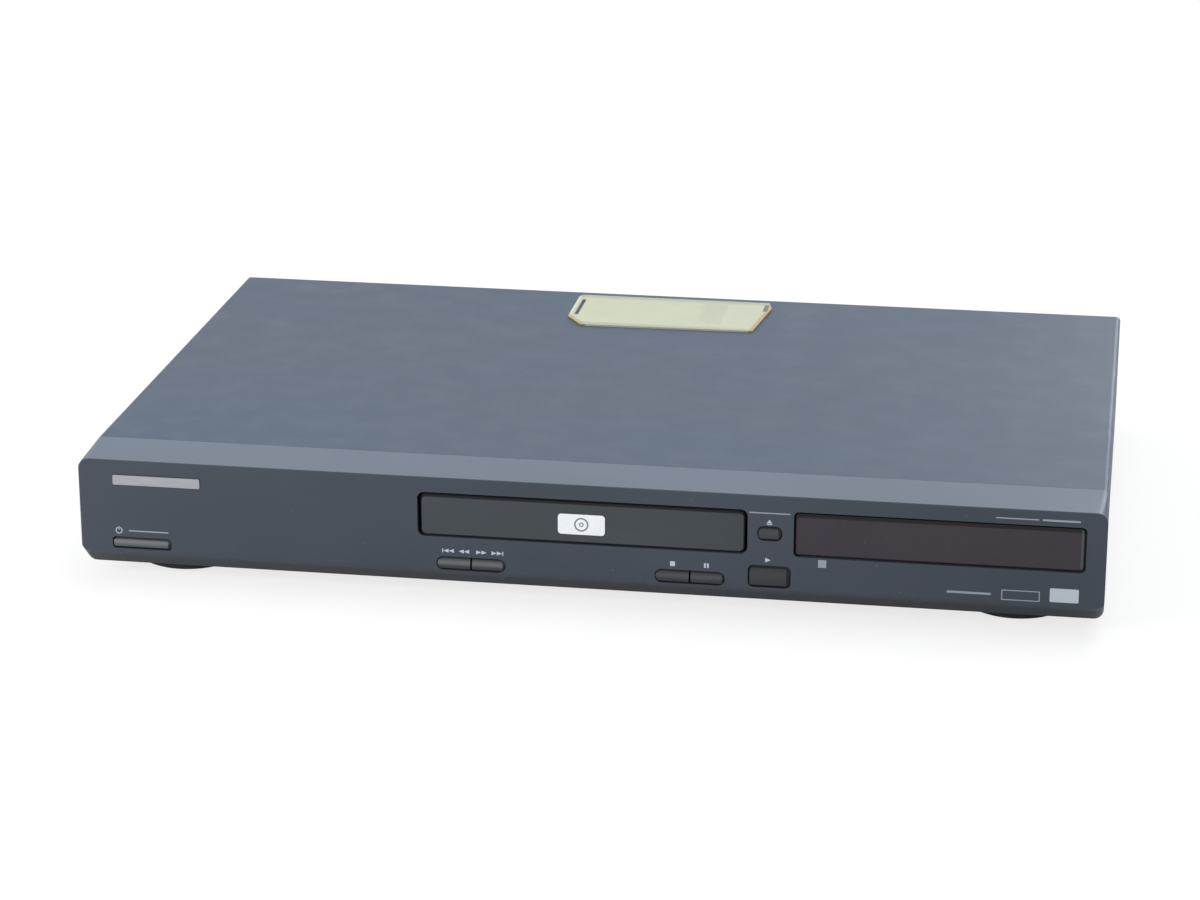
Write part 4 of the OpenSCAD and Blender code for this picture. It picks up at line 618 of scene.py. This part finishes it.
low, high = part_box("door_badge")
middle = (low + high) / 2
finish, place = start("badge_foil")
across = along(finish, place, 0) - middle[0]
up = along(finish, place, 2) - middle[2]
radius = (across * across + up * up) ** 0.5
rim = between(radius, near=0.00225, far=0.003, fade=0.00012)
hub = between(radius, near=0.0005, far=0.001, fade=0.0001)
foil = cloud(finish, place, grain=0.002)
blank = foil.blend(shade(216, 220, 225), shade(230, 233, 237))
colour = (rim.most(hub) * 0.85).blend(blank, shade(52, 56, 62))
badge_foil = seal(finish, colour, 0.34 + 0.1 * foil, foil, relief=0.00002)
dress(badge_foil, "door_badge")

# The front panel --------------------------------------------------------------------
# One dark blue-grey moulding: a flat face, a lip that slopes back under it and a
# smooth band that runs back to the cover. The band's much paler, bluer colour is a
# painted sheen of the light from above. The skin is lightly sparked, with dust.
lip_top = 0.0125
lip_start = 0.0112
low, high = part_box("front_fascia")
band_front = low[1] + 0.0002
band_bottom = high[2] - 0.0012
finish, place = start("panel_plastic")
spark = cloud(finish, place, grain=0.0005)
wipe = cloud(finish, place, grain=0.05, octaves=4, stretch=(2, 1, 1)).step(0.35, 0.75)
dusty = cloud(finish, place, grain=0.03, octaves=2) > 0.52
speck = cells(finish, place, 0.006).step(0.05, 0.03) * dusty
height = along(finish, place, 2)
lip = height.step(lip_top, lip_start)
behind_face = along(finish, place, 1).step(band_front, band_front + 0.0006)
band = behind_face * height.step(band_bottom, band_bottom + 0.0003)
tone = (spark * 0.35 + wipe * 0.4).least(1)
face_shade = tone.blend(shade(53, 60, 69), shade(64, 71, 81))
lip_shade = tone.blend(shade(46, 51, 55), shade(58, 62, 67))
# The band's paler colour is painted sheen, not the moulding's own colour.
band_painted_sheen = tone.blend(shade(92, 104, 119), shade(105, 117, 132))
clean = band.blend(lip.blend(face_shade, lip_shade), band_painted_sheen)
colour = (speck * 0.3).blend(clean, shade(150, 156, 166))
panel_plastic = seal(
    finish, colour, 0.36 + 0.1 * spark + 0.05 * wipe, spark, relief=0.00003, Specular_IOR_Level=0.25
)
dress(panel_plastic, "front_fascia")

# The buttons ------------------------------------------------------------------------
# Seven caps of the same plastic. The pale line along each cap's middle is a painted
# highlight, and their darker rounded rims are painted shade from the wells they sit in.
# Flanges above and below keep them in the panel. The standby bar is paler.
flange = 0.00075
cap_corner = 0.0016
skip_nodes = ["previous_button", "next_button"]
stop_nodes = ["stop_button", "pause_button"]
for name, nodes, dark, light, highlight_shade, ridge_part, rim_width in (
    ("skip_caps", skip_nodes, (47, 50, 53), (56, 59, 62), (98, 103, 107), 0.7, 0.0005),
    ("stop_caps", stop_nodes, (45, 49, 52), (52, 56, 59), (73, 77, 81), 0.7, 0.0005),
    ("play_cap", ["play_button"], (45, 49, 52), (53, 57, 60), (57, 61, 65), 0.9, 0.001),
    ("open_cap", ["open_button"], (49, 53, 56), (57, 61, 65), (64, 68, 71), 0.9, 0.0008),
    ("standby_cap", ["standby_button"], (65, 70, 74), (74, 79, 82), (100, 106, 111), 0.8, 0.0008),
):
    boxes = [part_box(node) for node in nodes]
    low = [min(box[0][axis] for box in boxes) for axis in range(3)]
    high = [max(box[1][axis] for box in boxes) for axis in range(3)]
    low[2] += flange
    high[2] -= flange
    half_h = (high[2] - low[2]) / 2
    corner = min(cap_corner, half_h * 0.6)
    finish, place = start(name)
    spark = cloud(finish, place, grain=0.0004)
    thumb = cloud(finish, place, grain=0.005)
    # The dark rim is painted shade, widest at the top and right; the pale ridge is a painted highlight.
    rim = rim_mask(
        finish, place, low, high, corner, rim_width, fade=0.0003, shift_x=0.0005, shift_z=0.0003
    )
    up = along(finish, place, 2) - (low[2] + high[2]) / 2
    ridge_highlight = abs(up - half_h * 0.1).step(half_h * ridge_part, half_h * 0.05)
    tone = (spark * 0.4 + thumb * 0.5).least(1)
    colour = (ridge_highlight * 0.8).blend(tone.blend(shade(*dark), shade(*light)), shade(*highlight_shade))
    colour = (rim * 0.95).blend(colour, shade(16, 18, 20))
    cap_plastic = seal(
        finish, colour, 0.38 + 0.12 * spark, spark, relief=0.00003, Specular_IOR_Level=0.2
    )
    dress(cap_plastic, *nodes)

# The display window -----------------------------------------------------------------
# A smoked acrylic pane, near black while the tube behind it is off. Its edge is held
# behind the panel, and the rim that shows is painted dark as shade, widest along the
# top. A pale line near its right end is a painted highlight. The tube is a flat glass
# envelope on the front board.
hidden_edge = Vector((0.0024, 0, 0.0024))
low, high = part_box("display_window")
low = low + hidden_edge
high = high - hidden_edge
half_h = (high[2] - low[2]) / 2
glint_from = 0.0008
glint_to = 0.0018
finish, place = start("smoked_acrylic")
# The dark rim is painted shade, widest along the top and the left.
edge = rim_mask(
    finish, place, low, high, corner=0.0018, width=0.0008, fade=0.0007, shift_x=-0.0002, shift_z=0.0016
)
from_right = high[0] - along(finish, place, 0)
from_middle = abs(along(finish, place, 2) - (low[2] + high[2]) / 2)
# The glint is a painted highlight along the right end.
glint = from_right.step(glint_to, glint_to - 0.0003)
glint = glint * from_right.step(glint_from, glint_from + 0.0002)
glint = glint * from_middle.step(half_h - 0.0008, half_h - 0.0014)
dust = cloud(finish, place, grain=0.0014, octaves=2).step(0.72, 0.8)
hue = cloud(finish, place, grain=0.03, octaves=2)
smoke = hue.blend(shade(48, 44, 50), shade(56, 49, 55))
colour = (dust * 0.12).blend(smoke, shade(150, 150, 154))
colour = (edge * 0.95).blend(colour, shade(12, 11, 12))
colour = (glint * 0.7).blend(colour, shade(84, 84, 88))
smoked_acrylic = seal(
    finish, colour, 0.14 + 0.2 * dust, dust, relief=0.00001, Specular_IOR_Level=0.25
)
dress(smoked_acrylic, "display_window")

digit_pitch = 0.0066
low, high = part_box("display_tube")
finish, place = start("tube_glass")
from_middle = abs(along(finish, place, 2) - (low[2] + high[2]) / 2)
column = ((along(finish, place, 0) / digit_pitch).fold() * 2).step(0.25, 0.3)
digit = column * from_middle.step(0.005, 0.0046)
film = cloud(finish, place, grain=0.003, octaves=2)
colour = (digit * 0.5 + film * 0.1).blend(shade(20, 26, 28), shade(74, 88, 88))
tube_glass = seal(finish, colour, 0.1 + 0.1 * film, film, relief=0.00001, Coat_Weight=0.6)
dress(tube_glass, "display_tube")

# The nameplate ----------------------------------------------------------------------
# A plain bar of satin anodised aluminium, glued into a shallow recess, with fine
# brushing along its length.
anodised_bar = grained(
    "anodised_bar", shade(132, 134, 139), shade(168, 170, 175), roughness=0.24, rougher=0.16,
    grain=0.0002, relief=0.00002, stretch=(40, 1, 1), Metallic=0.75,
)
dress(anodised_bar, "nameplate")

# The printed signs ------------------------------------------------------------------
# Pale grey ink, screen-printed on the face over each button: the usual signs for
# standby, skip, search, stop, pause, play and open. Words are left out; a thin
# plain line stands in the place of each.
face_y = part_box("front_fascia")[0][1]
ink_thickness = 0.00003
ink_root = 0.00002


def printed(name, outlines, ink):
    """Flat ink on the face: each closed outline is given by X and Z in millimetres."""
    film = bmesh.new()
    for outline in outlines:
        front = [film.verts.new((x / 1000, face_y - ink_thickness, z / 1000)) for x, z in outline]
        back = [film.verts.new((x / 1000, face_y + ink_root, z / 1000)) for x, z in outline]
        film.faces.new(front)
        for here in range(len(outline)):
            there = (here + 1) % len(outline)
            film.faces.new((front[there], front[here], back[here], back[there]))
    bmesh.ops.recalc_face_normals(film, faces=film.faces)
    sign = bpy.data.objects.new(name, bpy.data.meshes.new(name))
    film.to_mesh(sign.data)
    film.free()
    sign.data.materials.append(ink)
    bpy.context.scene.collection.objects.link(sign)
    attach(sign, "chassis")


def bar(x, z, width, height, corner=0.0):
    """Outline of a bar about its middle, with rounded corners where asked."""
    w, h, c = width / 2, height / 2, corner
    if not c:
        return [(x - w, z - h), (x + w, z - h), (x + w, z + h), (x - w, z + h)]
    points = []
    for side_x, side_z, turned in ((1, 1, 0), (-1, 1, 90), (-1, -1, 180), (1, -1, 270)):
        for k in range(5):
            angle = math.radians(turned + 22.5 * k)
            point_x = x + side_x * (w - c) + c * math.cos(angle)
            point_z = z + side_z * (h - c) + c * math.sin(angle)
            points.append((point_x, point_z))
    return points


def arrow(x, z, width, height, way):
    """Outline of a triangle that points to the right (1) or to the left (-1)."""
    tail = x - way * width / 2
    return [(tail, z - height / 2), (x + way * width / 2, z), (tail, z + height / 2)]


def open_ring(x, z, radius, line, first, last, steps):
    """Outlines of the short quads of an open ring between two angles."""
    inner = radius - line
    quads = []
    for k in range(steps):
        a, b = (math.radians(first + (last - first) * (k + j) / steps) for j in (0, 1))
        corners = ((inner, a), (radius, a), (radius, b), (inner, b))
        quads.append([(x + r * math.cos(angle), z + r * math.sin(angle)) for r, angle in corners])
    return quads


pale_ink = grained(
    "pale_ink", shade(158, 167, 178), shade(186, 195, 206), roughness=0.5, rougher=0.1,
    grain=0.0002, relief=0.00001, octaves=2,
)
faint_ink = grained(
    "faint_ink", shade(124, 130, 139), shade(150, 156, 165), roughness=0.5, rougher=0.1,
    grain=0.0002, relief=0.00001, octaves=2,
)
standby_x, standby_row = -193.6, 22.9
skip_row, play_row = 22.25, 26.1
stroke = 0.32
power_ring = open_ring(standby_x, standby_row, radius=1.45, line=stroke, first=115, last=425, steps=20)
power_stroke = bar(standby_x, standby_row + 1.0, stroke, 1.5)
printed("standby_sign", power_ring + [power_stroke], pale_ink)
stop_w, arrow_w, skip_h = 0.4, 2.1, 1.7
skips = []
for way, edge in ((-1, -57.4), (1, -32.1)):
    skips.append(bar(edge - way * stop_w / 2, skip_row, stop_w, skip_h))
    for offset in (1.6, 3.8, 7.95, 10.15):
        skips.append(arrow(edge - way * offset, skip_row, arrow_w, skip_h, way))
printed("skip_signs", skips, pale_ink)
printed("stop_sign", [bar(37.3, skip_row, 2.0, 2.0)], pale_ink)
printed("pause_sign", [bar(x, skip_row, 0.75, 2.0) for x in (50.45, 51.65)], pale_ink)
printed("play_sign", [arrow(75.9, play_row, 2.2, 2.0, 1)], pale_ink)
eject_head = [(75.2, 41.9), (77.4, 41.9), (76.3, 43.4)]
printed("open_sign", [eject_head, bar(76.3, 41.4, 2.2, 0.4)], pale_ink)
printed("sensor_sign", [bar(97.7, 25.8, 3.3, 3.3)], faint_ink)
printed(
    "plain_lines",
    [
        bar(-181.0, standby_row, 17.0, 0.5, 0.24),
        bar(76.3, 46.1, 16.6, 0.5, 0.24),
        bar(174.5, 49.6, 17.0, 0.5, 0.24),
        bar(191.8, 49.6, 15.0, 0.8, 0.38),
        bar(156.4, 17.2, 17.6, 0.9, 0.4),
    ],
    faint_ink,
)
level_lines = [bar(176.9, z, 15.2, 0.4) for z in (19.2, 15.2)]
upright_lines = [bar(x, 17.2, 0.4, 3.6) for x in (169.5, 184.3)]
printed("plain_frame", level_lines + upright_lines, faint_ink)
printed("plain_panel", [bar(194.1, 18.2, 11.4, 5.8, 0.5)], pale_ink)

# The cover --------------------------------------------------------------------------
# Folded steel sheet with a satin blue-grey paint, screwed to the casing at its
# sides. Fine orange peel, cloudy marks from wiping and a little dust lie on it.
finish, place = start("cover_paint")
peel = cloud(finish, place, grain=0.0009, octaves=2)
smear = cloud(finish, place, grain=0.07, octaves=5, stretch=(2.2, 1, 1)).step(0.3, 0.8)
haze = cloud(finish, place, grain=0.018, octaves=4).step(0.35, 0.8)
dusty = cloud(finish, place, grain=0.03, octaves=2) > 0.55
speck = cells(finish, place, 0.008).step(0.045, 0.025) * dusty
tone = (smear * 0.55 + haze * 0.25 + peel * 0.2).least(1)
paint = tone.blend(shade(61, 76, 94), shade(74, 89, 107))
colour = (speck * 0.25).blend(paint, shade(160, 168, 178))
cover_paint = seal(
    finish, colour, 0.44 + 0.1 * smear - 0.05 * haze, peel, relief=0.00003, Specular_IOR_Level=0.3
)
dress(cover_paint, "top_cover")

# The tag on the cover ---------------------------------------------------------------
# A blank cream plastic tag with cut corners and a slot at its left end, glued down at
# the rear. A thin frame runs round it. Its middle has greyed, it is greyer towards its
# front and rear edges, its cut corners have browned, and a dark scuff crosses its
# right end.


def past_cut(from_side, from_front, run_x, run_y):
    """How far a place lies inside a cut corner, whose cut runs so far along X and Y."""
    return (from_side * run_y + from_front * run_x) / math.hypot(run_x, run_y)


low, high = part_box("top_label")
finish, place = start("tag_plastic")
across = along(finish, place, 0)
back = along(finish, place, 1)
from_left = across - low[0]
from_right = high[0] - across
from_front = back - low[1]
from_rear = high[1] - back
age = cloud(finish, place, grain=0.012, octaves=4)
edge = from_left.least(from_right).least(from_rear).least(from_front)
right_cut = past_cut(from_right - 0.0047, from_front - 0.0017, run_x=0.0047, run_y=0.038)
left_cut = past_cut(from_left, from_front - 0.0123, run_x=0.0078, run_y=0.0123)
burnt = right_cut.step(0.0026, 0.0012).most(left_cut.step(0.0028, 0.0012))
frame_line = between(edge, near=0.0012, far=0.0026, fade=0.0004)
wander = cloud(finish, place, grain=0.005, octaves=4) * 0.012
patch = 1
for distance, border, fade in (
    (from_left + wander, 0.066, 0.0012),
    (from_right, 0.0205, 0.0005),
    (from_front + wander, 0.015, 0.002),
    (from_rear, 0.0055, 0.001),
):
    patch = patch * distance.step(border, border + fade)
scuff_right, scuff_rear = 0.0027, 0.0088
scuff = abs(from_right - scuff_right).step(0.0013, 0.0008)
scuff = scuff * abs(from_rear - scuff_rear).step(0.0058, 0.0048)
# Greyer towards the front and rear edges.
long_edges = from_front.least(from_rear).step(0.007, 0.001)
side = along(finish, place, 2).step(high[2] - 0.00005, high[2] - 0.0002)
cream = age.blend(shade(183, 187, 161), shade(199, 202, 180))
greyer = age.blend(shade(166, 172, 152), shade(180, 185, 166))
colour = cream
for mask, hue in (
    (patch * 0.5, greyer),
    (edge.step(0.0016, 0.0011) * 0.6, shade(208, 211, 194)),
    (frame_line * 0.3, shade(164, 164, 130)),
    (long_edges * 0.55, shade(146, 151, 138)),
    (burnt * 0.8, shade(172, 154, 96)),
    (scuff * 0.8, shade(64, 66, 60)),
):
    colour = mask.blend(colour, hue)
colour = side.blend(colour, burnt.blend(shade(172, 172, 152), shade(134, 114, 66)))
tag_plastic = seal(finish, colour, 0.4 + 0.15 * age, age, relief=0.00003)
dress(tag_plastic, "top_label")
